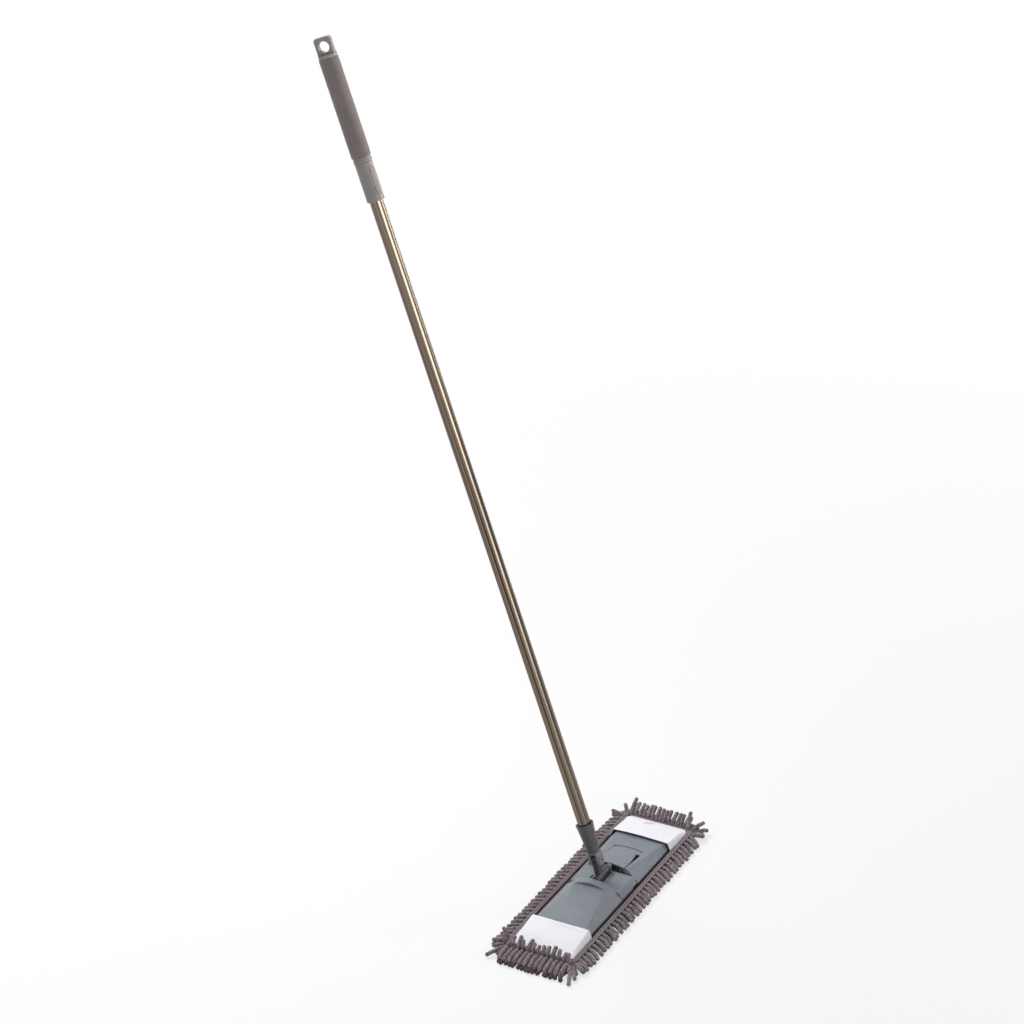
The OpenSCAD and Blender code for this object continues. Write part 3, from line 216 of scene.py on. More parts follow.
def foam(name, colour):
    """Closed foam: small cells, larger hollows with painted shade at their bottoms, and a faint cloud."""
    s = Shader(name, colour, 0.9)
    p = s.coords()
    cell = s.cells(p, 1500.0)
    coarse = s.cells(p, 620.0)
    cloud = s.noise(p, 45.0, 4.0)
    tint = s.ramp(cloud, [(0.32, shade(colour, 0.88)), (0.68, shade(colour, 1.1))])
    # Painted shade: darker where the coarse bump is lowest, at the bottoms of the hollows.
    painted_pit_shade = s.ramp(coarse, [(0.05, shade(colour, 0.62)), (0.32, shade(colour, 1.0))])
    s.set("Base Color", s.mix(0.45, tint, painted_pit_shade))
    s.set("Normal", s.bump(cell, 0.00012, 0.7, s.bump(coarse, 0.0003, 0.6)))
    s.set("Sheen Weight", 0.25)
    s.set("Sheen Roughness", 0.6)
    s.set("Specular IOR Level", 0.2)
    return s.mat


def yarn(name, colour, sheen):
    """Chenille pile: tuft specks and clumps of short fibre, with painted shade between the clumps."""
    s = Shader(name, colour, 0.92)
    p = s.coords()
    clump = s.cells(p, 620.0)
    pile = s.noise(p, 1900.0, 3.0, 0.7)
    cloud = s.noise(p, 70.0)
    tuft = s.noise(p, 300.0, 2.0, 0.6)
    tint = s.ramp(cloud, [(0.3, shade(colour, 0.86)), (0.7, shade(colour, 1.14))])
    tint = s.mix(s.spread(pile, 0.0, 0.55), tint, shade(colour, 1.5))
    # Painted shade: darker between the clumps and a little lighter on their crowns, as the pile's own shadow.
    deep = s.ramp(clump, [(0.12, shade(colour, 1.15)), (0.62, shade(colour, 0.42))])
    # Speckle, partly real fibre specks and partly painted shade in the gaps and painted highlight on the
    # tops.
    tuft_specks_and_painted_light = s.ramp(tuft, [(0.36, shade(colour, 0.3)), (0.5, shade(colour, 0.95)), (0.62, shade(colour, 2.0))])
    s.set("Base Color", s.mix(0.5, s.mix(0.36, tint, deep), tuft_specks_and_painted_light))
    clumps = s.bump(s.calc("SUBTRACT", 1.0, clump), 0.0007, 0.7)
    s.set("Normal", s.bump(pile, 0.0004, 0.75, clumps))
    s.set("Sheen Weight", sheen)
    s.set("Sheen Roughness", 0.45)
    s.set("Specular IOR Level", 0.12)
    return s.mat


# Scale at which a wave texture, in metres, repeats every millimetre
WAVE_PER_MM = 314.0


def cloth(name, colour, thread, rough, sheen, depth):
    """A plain weave of threads so many millimetres wide and deep, with a little fluff."""
    s = Shader(name, colour, rough)
    p = s.coords()
    wave = {"Vector": p, "Scale": WAVE_PER_MM / thread / 2, "Distortion": 0.6, "Detail": 1.0,
            "Detail Scale": 3.0}
    warp, weft = (s.add("ShaderNodeTexWave", wave, bands_direction=way).outputs["Fac"] for way in "XY")
    weave = s.calc("MULTIPLY", warp, weft)
    fluff = s.noise(p, 900.0, 4.0, 0.7)
    cloud = s.noise(p, 30.0)
    tint = s.ramp(cloud, [(0.3, shade(colour, 0.95)), (0.7, shade(colour, 1.03))])
    tint = s.mix(s.spread(weave, 0.1, 0.0), tint, shade(colour, 0.72))
    s.set("Base Color", s.mix(s.spread(fluff, 0.0, 0.1), tint, shade(colour, 0.88)))
    s.set("Normal", s.bump(fluff, 0.0001, 0.4, s.bump(weave, depth * MM, 0.6)))
    s.set("Sheen Weight", sheen)
    s.set("Sheen Roughness", 0.5)
    s.set("Specular IOR Level", 0.15)
    return s.mat


PLATE = plastic("plate_plastic", lin(120, 125, 133), 0.5, 0.03)
JOINT = plastic("joint_plastic", lin(76, 76, 80), 0.42, 0.02)
FORK = plastic("fork_plastic", lin(122, 122, 126), 0.32, 0.015)
STEM = plastic("stem_plastic", lin(50, 50, 53), 0.42, 0.015)
CAP = plastic("cap_plastic", lin(134, 128, 124), 0.45, 0.007)
TUBE = steel("tube_steel", lin(50, 42, 35), lin(142, 128, 114), 0.2)
PIN = steel("pin_steel", lin(150, 148, 146), lin(208, 206, 204), 0.24)
PIN_DARK = steel("pin_dark", lin(62, 62, 64), lin(88, 88, 90), 0.4)
FOAM = foam("foam", lin(120, 111, 108))
YARN = yarn("chenille", lin(134, 122, 127), 0.3)
# A darker copy of the chenille: painted shade for the lower rows under the others.
YARN_PAINTED_SHADE = yarn("chenille_painted_shade", lin(82, 73, 77), 0.08)
TAPE = cloth("tape", lin(144, 132, 135), 0.7, 0.8, 0.25, 0.1)
# Felt made dark as painted shade: it shows in the gaps between the strands, on the edges, backing and bend.
FELT_PAINTED_SHADE = cloth("felt_painted_shade", lin(48, 43, 46), 1.0, 0.95, 0.05, 0.15)
COTTON = cloth("pocket_cloth", lin(244, 243, 249), 0.55, 0.85, 0.2, 0.06)
STITCH = cloth("thread", lin(226, 225, 232), 0.3, 0.8, 0.2, 0.05)


# Mesh helpers
class Mesh:
    """Vertices in millimetres, gathered until made into one object."""

    def __init__(self):
        self.v = []
        self.f = []

    def grid(self, rows, closed=False, cap_end=False, cap_start=False):
        """Rows of points, each as long; closed joins each row's ends."""
        base, n = len(self.v), len(rows[0])
        for row in rows:
            self.v.extend(row)
        for i in range(len(rows) - 1):
            for j in range(n if closed else n - 1):
                a = base + i * n + j
                b = base + i * n + (j + 1) % n
                self.f.append((a, b, b + n, a + n))
        if cap_start:
            self.f.append(tuple(base + j for j in reversed(range(n))))
        if cap_end:
            self.f.append(tuple(base + (len(rows) - 1) * n + j for j in range(n)))

    def make(self, name, mat, body=None):
        """One smooth object in metres, which rides the body where one is given."""
        me = bpy.data.meshes.new(name)
        me.from_pydata([Vector(p) * MM for p in self.v], [], self.f)
        me.validate()
        me.shade_smooth()
        me.materials.append(mat)
        ob = bpy.data.objects.new(name, me)
        scene.collection.objects.link(ob)
        if body:
            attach(ob, body)
        return ob


def thicken(ob, thickness):
    """Gives a sheet its thickness in millimetres, inwards."""
    solid = ob.modifiers.new("thick", "SOLIDIFY")
    solid.thickness = thickness * MM
    solid.offset = -1


def wobble(x, y, scale, layer):
    """Smooth noise from -1 to 1 over the plane; layer picks the pattern."""
    return noise.noise(Vector((x * scale, y * scale, layer)))


def even(half, i, count):
    """The i-th of count places, evenly from -half to half."""
    return -half + 2 * half * i / (count - 1)


# Steps of a smooth curve between two of its points
CURVE_STEPS = 12


def spline(points, count):
    """A smooth curve through points, as count places at even lengths, and its length."""
    ps = [Vector(p) for p in points]
    ps = [ps[0] * 2 - ps[1]] + ps + [ps[-1] * 2 - ps[-2]]
    fine = []
    for i in range(1, len(ps) - 2):
        a, b, c, d = ps[i - 1:i + 3]
        for k in range(CURVE_STEPS):
            t = k / CURVE_STEPS
            square = (2 * a - 5 * b + 4 * c - d) * t * t
            cube = (3 * b - a - 3 * c + d) * t ** 3
            fine.append(0.5 * (2 * b + (c - a) * t + square + cube))
    fine.append(ps[-2])
    run = [0.0]
    for a, b in zip(fine, fine[1:]):
        run.append(run[-1] + (b - a).length)
    out, j = [], 0
    for k in range(count):
        at = run[-1] * k / (count - 1)
        while j < len(run) - 2 and run[j + 1] < at:
            j += 1
        t = (at - run[j]) / max(1e-9, run[j + 1] - run[j])
        out.append(fine[j].lerp(fine[j + 1], t))
    return out, run[-1]


# Chenille strands: slimmer at the root, ringed and lumpy, and never lower than just over the floor
ROOT_SLIM, ROOT_LENGTH, TIP_SLIM = 0.93, 6.0, 0.02
RING_DEPTH, RING_RATE = 0.035, 2.6
FLOOR_GAP = 0.15
# Depth and scale of the lumps, and how far apart the patterns of two seeds lie
BROAD_LUMP, BROAD_SCALE, BROAD_STEP = 0.13, 0.42, 3.1
FINE_LUMP, FINE_SCALE, FINE_STEP, FINE_LAYER = 0.10, 1.05, 1.7, 5


def noodle(mesh, points, radius, seed, rings, sides, lumps=1.0):
    """A strand: a tube with a round tip and a lumpy pile, plain where lumps is 0."""
    path, length = spline(points, rings)
    side = None
    rows = []
    for k, p in enumerate(path):
        ahead = path[min(k + 1, rings - 1)] - path[max(k - 1, 0)]
        ahead.normalize()
        if side is None:
            side = ahead.orthogonal().normalized()
        side = (side - ahead * side.dot(ahead)).normalized()
        up = ahead.cross(side)
        run = length * k / (rings - 1)
        left = (length - run) / radius
        swell = math.sqrt(max(0.0, 1 - (1 - left) ** 2)) if left < 1 else 1.0
        swell = max(swell, TIP_SLIM) * (ROOT_SLIM + (1 - ROOT_SLIM) * min(1.0, run / ROOT_LENGTH))
        ring = 1 + lumps * RING_DEPTH * math.sin(RING_RATE * run + seed)
        row = []
        for j in range(sides):
            a = 2 * math.pi * (j + 0.5 * (k % 2)) / sides
            out = side * math.cos(a) + up * math.sin(a)
            q = p + out * radius
            broad = noise.noise(q * BROAD_SCALE + Vector((seed * BROAD_STEP, 0, 0)))
            fine = noise.noise(q * FINE_SCALE + Vector((0, seed * FINE_STEP, FINE_LAYER)))
            v = p + out * radius * swell * (ring + lumps * (BROAD_LUMP * broad + FINE_LUMP * fine))
            v.z = max(v.z, FLOOR_GAP)
            row.append(v)
        rows.append(row)
    mesh.grid(rows, closed=True, cap_end=True)


def outline(half_x, half_y, radius, x0, e, step):
    """The pad's edge as (x, y, outward x, outward y): from x0 along the left side, round the end that e
    points to, and back to x0 along the right side."""
    path = []
    end_x, end_y = e * (half_x - radius), half_y - radius
    n = max(2, int(abs(end_x - x0) / step))
    for i in range(n):
        path.append((x0 + (end_x - x0) * i / n, half_y, 0, 1))
    for side in (1, -1):
        m = max(6, int(radius * math.pi / 2 / step))
        for i in range(m):
            a = math.pi / 2 * (1 - i / m) if side > 0 else -math.pi / 2 * i / m
            nx, ny = e * math.cos(a), math.sin(a)
            path.append((end_x + radius * nx, side * end_y + radius * ny, nx, ny))
        if side > 0:
            k = int(2 * end_y / step)
            for i in range(k):
                path.append((e * half_x, end_y - 2 * end_y * i / k, e, 0))
    for i in range(n + 1):
        path.append((end_x + (x0 - end_x) * i / n, -half_y, 0, -1))
    return path


# Kept CAD nodes: softened edges and materials
NORMAL_WEIGHT = 90
# Metres within which points join, and degrees within which faces become one
WELD_GAP, FLAT_ANGLE = 0.00002, 1.2


def dress(name, mat, width, angle=28, segments=2):
    """Material and bevel for a CAD node: width in millimetres, on edges sharper than angle."""
    ob = NODES[name]
    me = ob.data
    if "custom_normal" in me.attributes:
        me.attributes.remove(me.attributes["custom_normal"])
    me.shade_smooth()
    me.materials.clear()
    me.materials.append(mat)
    weld = ob.modifiers.new("weld", "WELD")
    weld.merge_threshold = WELD_GAP
    flat = ob.modifiers.new("flat", "DECIMATE")
    flat.decimate_type = "DISSOLVE"
    flat.angle_limit = math.radians(FLAT_ANGLE)
    bevel = ob.modifiers.new("edges", "BEVEL")
    bevel.width = width * MM
    bevel.segments = segments
    bevel.limit_method = "ANGLE"
    bevel.angle_limit = math.radians(angle)
    bevel.use_clamp_overlap = True
    normals = ob.modifiers.new("normals", "WEIGHTED_NORMAL")
    normals.weight = NORMAL_WEIGHT
    normals.keep_sharp = False


for part in ("near_wing", "far_wing"):
    dress(part, PLATE, 0.9, 24, 3)
dress("pedal", PLATE, 0.6, 24)
dress("swivel_block", STEM, 0.6)
dress("fork", FORK, 0.6)
dress("socket", JOINT, 0.5)
dress("lock_collar", CAP, 0.5)
dress("grip_ring", CAP, 0.35)
dress("hang_cap", CAP, 0.7)
for part in ("lock_cam", "lock_plug"):
    dress(part, JOINT, 0.3)
for part in ("lower_tube", "inner_tube"):
    dress(part, TUBE, 0.3, 40)
for part in ("fold_pins", "axle_pin", "pedal_pin"):
    dress(part, PIN, 0.25, 40)
dress("fork_pin", PIN_DARK, 0.25, 40)

# Pedal spring: each closed end turn takes END_TURN of the wire and END_RISE of the height
WIRE, WIRE_SIDES = 0.6, 10
SPRING_TURNS, SPRING_STEPS = 5.5, 160
END_TURN, END_RISE = 0.09, 0.075


def climb(t):
    """The share of the spring's height at the share t of its wire."""
    first = min(1.0, t / END_TURN)
    middle = min(1.0, max(0.0, (t - END_TURN) / (1 - 2 * END_TURN)))
    last = max(0.0, (t - 1 + END_TURN) / END_TURN)
    return END_RISE * (first + last) + (1 - 2 * END_RISE) * middle


def pedal_spring():
    """A coil that fills the box of the CAD spring."""
    lo, hi = (Vector(v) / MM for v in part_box("pedal_spring"))
    mid = (lo + hi) / 2
    coil = (hi.y - lo.y) / 2 - WIRE
    height = hi.z - lo.z - 2 * WIRE
    rows = []
    for i in range(SPRING_STEPS + 1):
        t = i / SPRING_STEPS
        a = 2 * math.pi * SPRING_TURNS * t
        out = Vector((math.cos(a), math.sin(a), 0))
        p = Vector((mid.x, mid.y, lo.z + WIRE + height * climb(t)))
        row = []
        for k in range(WIRE_SIDES):
            b = 2 * math.pi * k / WIRE_SIDES
            row.append(p + out * (coil + WIRE * math.cos(b)) + Vector((0, 0, WIRE * math.sin(b))))
        rows.append(row)
    mesh = Mesh()
    mesh.grid(rows, closed=True, cap_start=True, cap_end=True)
    spring = mesh.make("spring_coil", PIN, "fold_wing")
    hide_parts("pedal_spring")
    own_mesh(spring)


pedal_spring()

# Fringe: all sizes that vary from strand to strand are drawn from one row of random numbers
rng = random.Random(20)
# Seeds of the lumps, from which each row of strands counts on
SIDE_SEED_STEP, UNDER_SEED = 40, 17
LOW_SEED, MAIN_SEED, UPPER_SEED, LOOSE_SEED = 3, 60, 90, 150
CORNER_SEED, CORNER_SEED_STEP = 120, 7
BEND_SIDE_SEED, BEND_UNDER_SEED, BEND_BED_SEED = 200, 230, 300


def lean(k):
    """A random number from -k to k."""
    return rng.uniform(-k, k)


# Long sides: strands PITCH apart, swept towards the near end, and a lower row between them
PITCH = 12.0
SIDE_SPANS = {"near": (-211.0, 9.0), "far": (44.0, 213.0)}
SIDE_SWEEP = {1: -7.0, -1: -13.0}
SIDE_REACH, SIDE_LIFT = (22.5, 25.5), 0.9
SIDE_R, UNDER_R = 3.75, 3.5
# A side strand, as (distance past the sewn edge, share of the reach, height, share of the lift)
SIDE_PATH = ((-5, 0.0, 9.0, 0.0), (1, 0.0, 10.0, 0.4), (0, 0.42, 9.0, 1.0), (0, 0.76, 6.4, 0.6),
             (0, 1.0, 4.1, 0.0))
UNDER_SHIFT = {"near": -6.0, "far": 6.0}
# Lower row, as (share of the sweep, distance from the middle, height), without its tip
UNDER_PATH = ((0.0, 57.0, 5.4), (0.3, 68.0, 4.6), (0.65, 76.0, 3.9))
UNDER_TIP_Y, UNDER_TIP_Z = 83.5, 3.6


def side_sweep(s):
    """How far a strand's tip lies towards the near end."""
    return SIDE_SWEEP[s] + lean(2.2)


def side_noodle(mesh, x, s, seed, sweep):
    """One strand of a long side, out from under the binding and down."""
    bow = 0.3 * sweep + lean(0.8)
    reach = rng.uniform(*SIDE_REACH)
    lift = rng.uniform(0.0, SIDE_LIFT)
    turns = (0.0, 0.08 * sweep, bow, bow + 0.55 * (sweep - bow), sweep)
    path = []
    for turn, (past, share, z, lifted) in zip(turns, SIDE_PATH):
        path.append((x + turn, s * (EDGE_Y + past + share * reach), z + lifted * lift))
    noodle(mesh, path, SIDE_R * rng.uniform(0.96, 1.05), seed, rings=30, sides=13)


def under_noodle(mesh, x, s, seed, sweep):
    """A strand of the lower row, in the shade of the others."""
    path = [(x + share * sweep, s * y, z) for share, y, z in UNDER_PATH]
    path.append((x + sweep, s * (UNDER_TIP_Y + lean(1.0)), UNDER_TIP_Z))
    noodle(mesh, path, UNDER_R, seed, rings=20, sides=10)


def side_rows(end, body):
    """Both long sides of one half."""
    x0, x1 = SIDE_SPANS[end]
    gaps = round((x1 - x0) / PITCH)
    for word, s in SIDES:
        mesh, under = Mesh(), Mesh()
        for i in range(gaps + 1):
            x = x0 + (x1 - x0) * i / gaps
            back = side_sweep(s)
            side_noodle(mesh, x + lean(0.8), s, i + SIDE_SEED_STEP * s + gaps + 1, back)
            under_noodle(under, x + UNDER_SHIFT[end], s, i + UNDER_SEED, back + lean(1.0))
        ob = mesh.make("strands_%s_%s" % (end, word), YARN, body)
        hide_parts("fringe_%s_%s" % (end, word))
        # The lower row takes the darker chenille, as painted shade.
        ob = under.make("strands_%s_%s_low" % (end, word), YARN_PAINTED_SHADE, body)


for end, body, e in HALVES:
    side_rows(end, body)

# Ends: three rows, loose strands and corners; the lower two rows of the near end reach NEAR_PAST further out
NEAR_PAST = 11.0
LOW_COUNT, LOW_HALF, LOW_R = 16, 56, 3.7
MAIN_COUNT, MAIN_HALF, MAIN_R = 13, 54, 4.2
UPPER_COUNTS, UPPER_HALF, UPPER_R = {"near": 13, "far": 15}, 54, 3.4
# Tips of the upper row: (play, shift) sideways, and the ranges of their way inwards and of their height
UPPER_TILT = {"near": (6.0, 0.0), "far": (2.0, -3.0)}
UPPER_INWARD = {"near": (4.0, 14.0), "far": (-16.0, -12.0)}
UPPER_HIGH = {"near": (28.0, 33.0), "far": (31.0, 35.0)}
# Tips of the loose strands at the corners
LOOSE = {"near": [(-217, 71, 37), (-262, 80, 5), (-228, 79, 18), (-275, -77, 3.9), (-258, -80, 5)],
         "far": [(222, 89, 16), (232, 68, 31), (250, 53, 37), (249, -50, 38), (254, -74, 20), (251, -83, 8)]}
LOOSE_R = 3.4
LOOSE_ROOT = (220, 55, 8.4)
# How much they are lifted, as (share of the way, height)
LOOSE_LIFT = ((0.36, 2.4), (0.72, 1.8))
CORNER_COUNT, CORNER_R = 6, 3.8
CORNER_FIRST, CORNER_GAPS = 0.6, 6.2
# Ranges of the rise of even and odd corner strands, and how far their tips lean aside
CORNER_RISE, CORNER_TILT = ((-1.0, 1.0), (-1.0, 7.0)), 4.0
# Corner strands, as (distance out, height, share of the rise)
CORNER_PATH = ((9, 8.2, 0.0), (15, 8.8, 0.2), (24, 8.0, 0.7), (32, 6.2, 1.0), (37, 4.6, 1.0))
# Section of the sewn edge, as (inward, height)
EDGE_SECTION = ((7.6, 12.4), (0.3, 12.4), (0.0, 11.6), (0.0, 7.0), (1.0, 5.4), (3.0, 4.8), (7.6, 4.8))
EDGE_TOP, EDGE_STEP = 12.45, 2.5
EDGE_WAVE, EDGE_WAVE_SCALE = 0.25, 0.2


def low_row(mesh, e, past):
    """The lower row of an end, in the shade of the main row."""
    for i in range(LOW_COUNT):
        y = even(LOW_HALF, i, LOW_COUNT) + lean(1.2)
        path = [(e * 224, y, 4.6),
                (e * 238, y + lean(1), 4.5),
                (e * (250 + 0.5 * past), y + lean(3), 4.2),
                (e * (259 + past + lean(2)), y + lean(4), 3.8)]
        noodle(mesh, path, LOW_R, i + LOW_SEED, rings=26, sides=11)


def main_row(mesh, e, past):
    """The main row of an end, which comes over the pad's edge and hangs down."""
    for i in range(MAIN_COUNT):
        y = even(MAIN_HALF, i, MAIN_COUNT) + lean(0.5)
        bow, turn = lean(0.6), lean(2.2)
        path = [(e * 223, y, 8.8),
                (e * 231, y, 12.4),
                (e * (240 + 0.3 * past), y + bow, 12.8 + lean(0.5)),
                (e * (247 + 0.8 * past), y + 0.6 * turn, 9.8),
                (e * (252 + past + lean(1.0)), y + turn, 5.2 + lean(0.4))]
        noodle(mesh, path, MAIN_R * rng.uniform(0.96, 1.04), i + MAIN_SEED, rings=32, sides=13)


def upper_row(mesh, end, e):
    """The upper row of an end, which stands up past the binding: inwards near, outwards far."""
    count = UPPER_COUNTS[end]
    play, shift = UPPER_TILT[end]
    for i in range(count):
        y = even(UPPER_HALF, i, count) + lean(1.4)
        tilt = lean(play) + shift
        inward = rng.uniform(*UPPER_INWARD[end])
        high = rng.uniform(*UPPER_HIGH[end])
        path = [(e * 226.0, y, 9.5),
                (e * 230.0, y, 14.0),
                (e * 231.0, y + 0.3 * tilt, 20.0),
                (e * (231.0 - 0.45 * inward), y + 0.65 * tilt, 9.0 + 0.55 * high),
                (e * (230.5 - inward), y + tilt, high)]
        noodle(mesh, path, UPPER_R * rng.uniform(0.94, 1.06), i + UPPER_SEED, rings=30, sides=13)


def loose_strands(mesh, end, e):
    """Single strands that stand off the corners."""
    root_x, root_y, root_z = LOOSE_ROOT
    for i, tip in enumerate(LOOSE[end]):
        tip = Vector(tip)
        root = Vector((e * root_x, math.copysign(root_y, tip.y), root_z))
        way = tip - root
        middle = [root + way * share + Vector((0, 0, lift)) for share, lift in LOOSE_LIFT]
        noodle(mesh, [root, *middle, tip], LOOSE_R, i + LOOSE_SEED, rings=30, sides=12)


def corner_strands(mesh, e):
    """Strands that fan out from the pad's two corners; every second one may stand up."""
    inner, outer = CORNER_PATH[0][0], CORNER_PATH[-1][0]
    for t in (-1, 1):
        centre_x, centre_y = e * (PAD_X - PAD_R), t * (PAD_Y - PAD_R)
        for k in range(CORNER_COUNT):
            a = math.radians(90 * (k + CORNER_FIRST) / CORNER_GAPS)
            ux, uy = e * math.cos(a), t * math.sin(a)
            rise = rng.uniform(*CORNER_RISE[k % 2])
            tilt = lean(CORNER_TILT)
            path = []
            for out, z, share in CORNER_PATH:
                aside = tilt * (out - inner) / (outer - inner)
                x = centre_x + ux * out - uy * aside
                y = centre_y + uy * out + ux * aside
                path.append((x, y, z + share * rise))
            seed = k + CORNER_SEED + CORNER_SEED_STEP * t
            noodle(mesh, path, CORNER_R * rng.uniform(0.95, 1.05), seed, rings=30, sides=13)


def edge_band(end, body, e):
    """The sewn edge under the binding that the strands come out of."""
    x0 = NEAR_STOP if e < 0 else FAR_START
    rows = []
    for x, y, nx, ny in outline(EDGE_X, EDGE_Y, EDGE_R, x0, e, EDGE_STEP):
        row = []
        for inward, z in EDGE_SECTION:
            z += EDGE_WAVE * wobble(x, y, EDGE_WAVE_SCALE, z)
            row.append(Vector((x - nx * inward, y - ny * inward, min(z, EDGE_TOP))))
        rows.append(row)
    mesh = Mesh()
    mesh.grid(rows)
    # Its dark felt is painted shade in the gaps between the strands.
    ob = mesh.make("edge_%s" % end, FELT_PAINTED_SHADE, body)


def end_rows(end, body, e):
    """All strands of one end."""
    low, top = Mesh(), Mesh()
    past = NEAR_PAST if e < 0 else 0.0
    low_row(low, e, past)
    main_row(top, e, past)
    upper_row(top, end, e)
    loose_strands(top, end, e)
    corner_strands(top, e)
    ob = top.make("strands_%s_end" % end, YARN, body)
    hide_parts("fringe_%s_end" % end)
    # The lower row takes the darker chenille, as painted shade.
    ob = low.make("strands_%s_low" % end, YARN_PAINTED_SHADE, body)


for end, body, e in HALVES:
    end_rows(end, body, e)
    edge_band(end, body, e)

# Pad: backing cloth, and the bed of short strands under it
PAD_END = 221.5
BACKING_HALF, BACKING_STEP, BACKING_POINTS, BACKING_THICK = 56.2, 4, 29, 1.6
BACKING_DROP, BACKING_WAVE, BACKING_WAVE_SCALE = 0.25, 0.2, 0.06
BED_PITCH, BED_ACROSS, BED_HALF, BED_STAGGER, BED_R = 8.6, 14, 55.5, 1.9, 4.1
# How far the bed stops short at its outer end, and at the bend, where the beds would meet in the fold
BED_OUTER, BED_BEND = 2.2, 6.5
# A strand of the bed, as (distance along it in BED_LENGTH, height)
BED_LENGTH = 5.6
BED_PATH = ((-0.3, 8.6), (0.0, 5.4), (0.6, 4.5), (1.5, 4.4))


def backing(end, body, x0, x1):
    """The backing cloth of one half, from x0 to x1."""
    n = int((x1 - x0) / BACKING_STEP)
    rows = []
    for i in range(n + 1):
        x = x0 + (x1 - x0) * i / n
        row = []
        for j in range(BACKING_POINTS):
            y = even(BACKING_HALF, j, BACKING_POINTS)
            wave = BACKING_WAVE * wobble(x, y, BACKING_WAVE_SCALE, 0)
            row.append(Vector((x, y, BACKING_Z - BACKING_DROP + wave)))
        rows.append(row)
    mesh = Mesh()
    mesh.grid(rows)
    ob = mesh.make("backing_cloth_%s" % end, FELT_PAINTED_SHADE, body)
    thicken(ob, BACKING_THICK)
    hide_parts("backing_%s" % end)


def bed(end, body, x0, x1):
    """The short strands under one half, in staggered rows that lie to either side."""
    mesh = Mesh()
    count = max(3, round((x1 - x0) / BED_PITCH))
    start = x0 + (BED_OUTER if end == "near" else BED_BEND)
    span = x1 - x0 - BED_OUTER - BED_BEND
    for i in range(count):
        x = start + span * i / (count - 1)
        for j in range(BED_ACROSS):
            y = even(BED_HALF, j, BED_ACROSS) + (BED_STAGGER if i % 2 else -BED_STAGGER)
            a = math.radians((90 if j % 2 else -90) + lean(50))
            dx, dy = BED_LENGTH * math.cos(a), BED_LENGTH * math.sin(a)
            path = [(x + dx * share, y + dy * share, z) for share, z in BED_PATH]
            noodle(mesh, path, BED_R, i * BED_ACROSS + j, rings=11, sides=9)
    ob = mesh.make("bed_%s" % end, YARN, body)
    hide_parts("sole_%s" % end)


for end, body, x0, x1 in (("near", "head", -PAD_END, NEAR_STOP), ("far", "fold_wing", FAR_START, PAD_END)):
    backing(end, body, x0, x1)
    bed(end, body, x0, x1)

# The pad's bend: cloth, edges and strands between the wings
BEND_STEPS, BEND_LAP = 8, 0.3
# Section of the bend, as (y, height), round from the right side's top
BEND_SECTION = ((-56.3, 12.4), (-63.7, 12.4), (-64, 11.6), (-64, 7.0), (-63, 5.4), (-61, 4.8), (-40, 5.0),
                (-20, 4.7), (0, 4.9), (20, 4.7), (40, 5.0), (61, 4.8), (63, 5.4), (64, 7.0), (64, 11.6),
                (63.7, 12.4), (56.3, 12.4), (28, 12.2), (0, 12.3), (-28, 12.2))
BEND_SIDE_X, BEND_UNDER_SHIFT = (21.0, 32.5), -6.0
BEND_BED_X, BEND_BED_COUNT, BEND_BED_R = (19.4, 28.2), 12, 4.0
BEND_BED_Y, BEND_BED_SPAN = -58, 107


def bend_cloth():
    """The pad's body in the bend, as one closed band."""
    rows = []
    for i in range(BEND_STEPS + 1):
        x = BEND_X0 - BEND_LAP + (BEND_X1 - BEND_X0 + 2 * BEND_LAP) * i / BEND_STEPS
        rows.append([Vector((x, y, z)) for y, z in BEND_SECTION])
    mesh = Mesh()
    mesh.grid(rows, closed=True)
    return mesh.make("bend_pad", FELT_PAINTED_SHADE)


def bend_noodles():
    """The strands beside and under the bend."""
    mesh = Mesh()
    for s in (-1, 1):
        for x in BEND_SIDE_X:
            side_noodle(mesh, x, s, BEND_SIDE_SEED + x + s, side_sweep(s))
            under_noodle(mesh, x + BEND_UNDER_SHIFT, s, BEND_UNDER_SEED + x + s, side_sweep(s))
    for x in BEND_BED_X:
        for j in range(BEND_BED_COUNT):
            y = BEND_BED_Y + BEND_BED_SPAN * j / (BEND_BED_COUNT - 1)
            path = [(x, y, 6.5), (x + lean(1), y + 3, 4.5), (x + lean(1), y + 9, 4.4)]
            noodle(mesh, path, BEND_BED_R, BEND_BED_SEED + j + x, rings=11, sides=9)
    return mesh.make("bend_strands", YARN)


bend_pad = bend_cloth()
bend_strands = bend_noodles()
for ob in (bend_pad, bend_strands):
    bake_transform(ob)
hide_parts("pad_bend")

# Binding: a tape with two rounded ribs along it, a groove between them and fine cross ribs
RIB_H, RIB_BASE, GROOVE_H = 3.05, 0.25, 0.8
TAPE_EDGE_H, TAPE_FOOT = 0.9, 0.6
TAPE_POINTS = 12
CROSS_RIB, CROSS_RIB_OUT, CROSS_RIB_H = 1.55, 0.10, 0.15
# Sway of the ribs, which leaves the tape's feet in place, and change of their height, each with its scale
TAPE_SWAY, SWAY_SCALE, SWAY_FROM = 0.22, 0.05, 0.5
TAPE_SWELL, SWELL_SCALE = 0.045, 0.09
TAPE_STEP, FAR_TAPE_X0 = 0.4, BEND_X1 - 0.1
BEND_TAPE_X0, BEND_TAPE_X1, BEND_TAPE_STEPS = BEND_X0 - 0.4, BEND_X1 + 0.3, 46


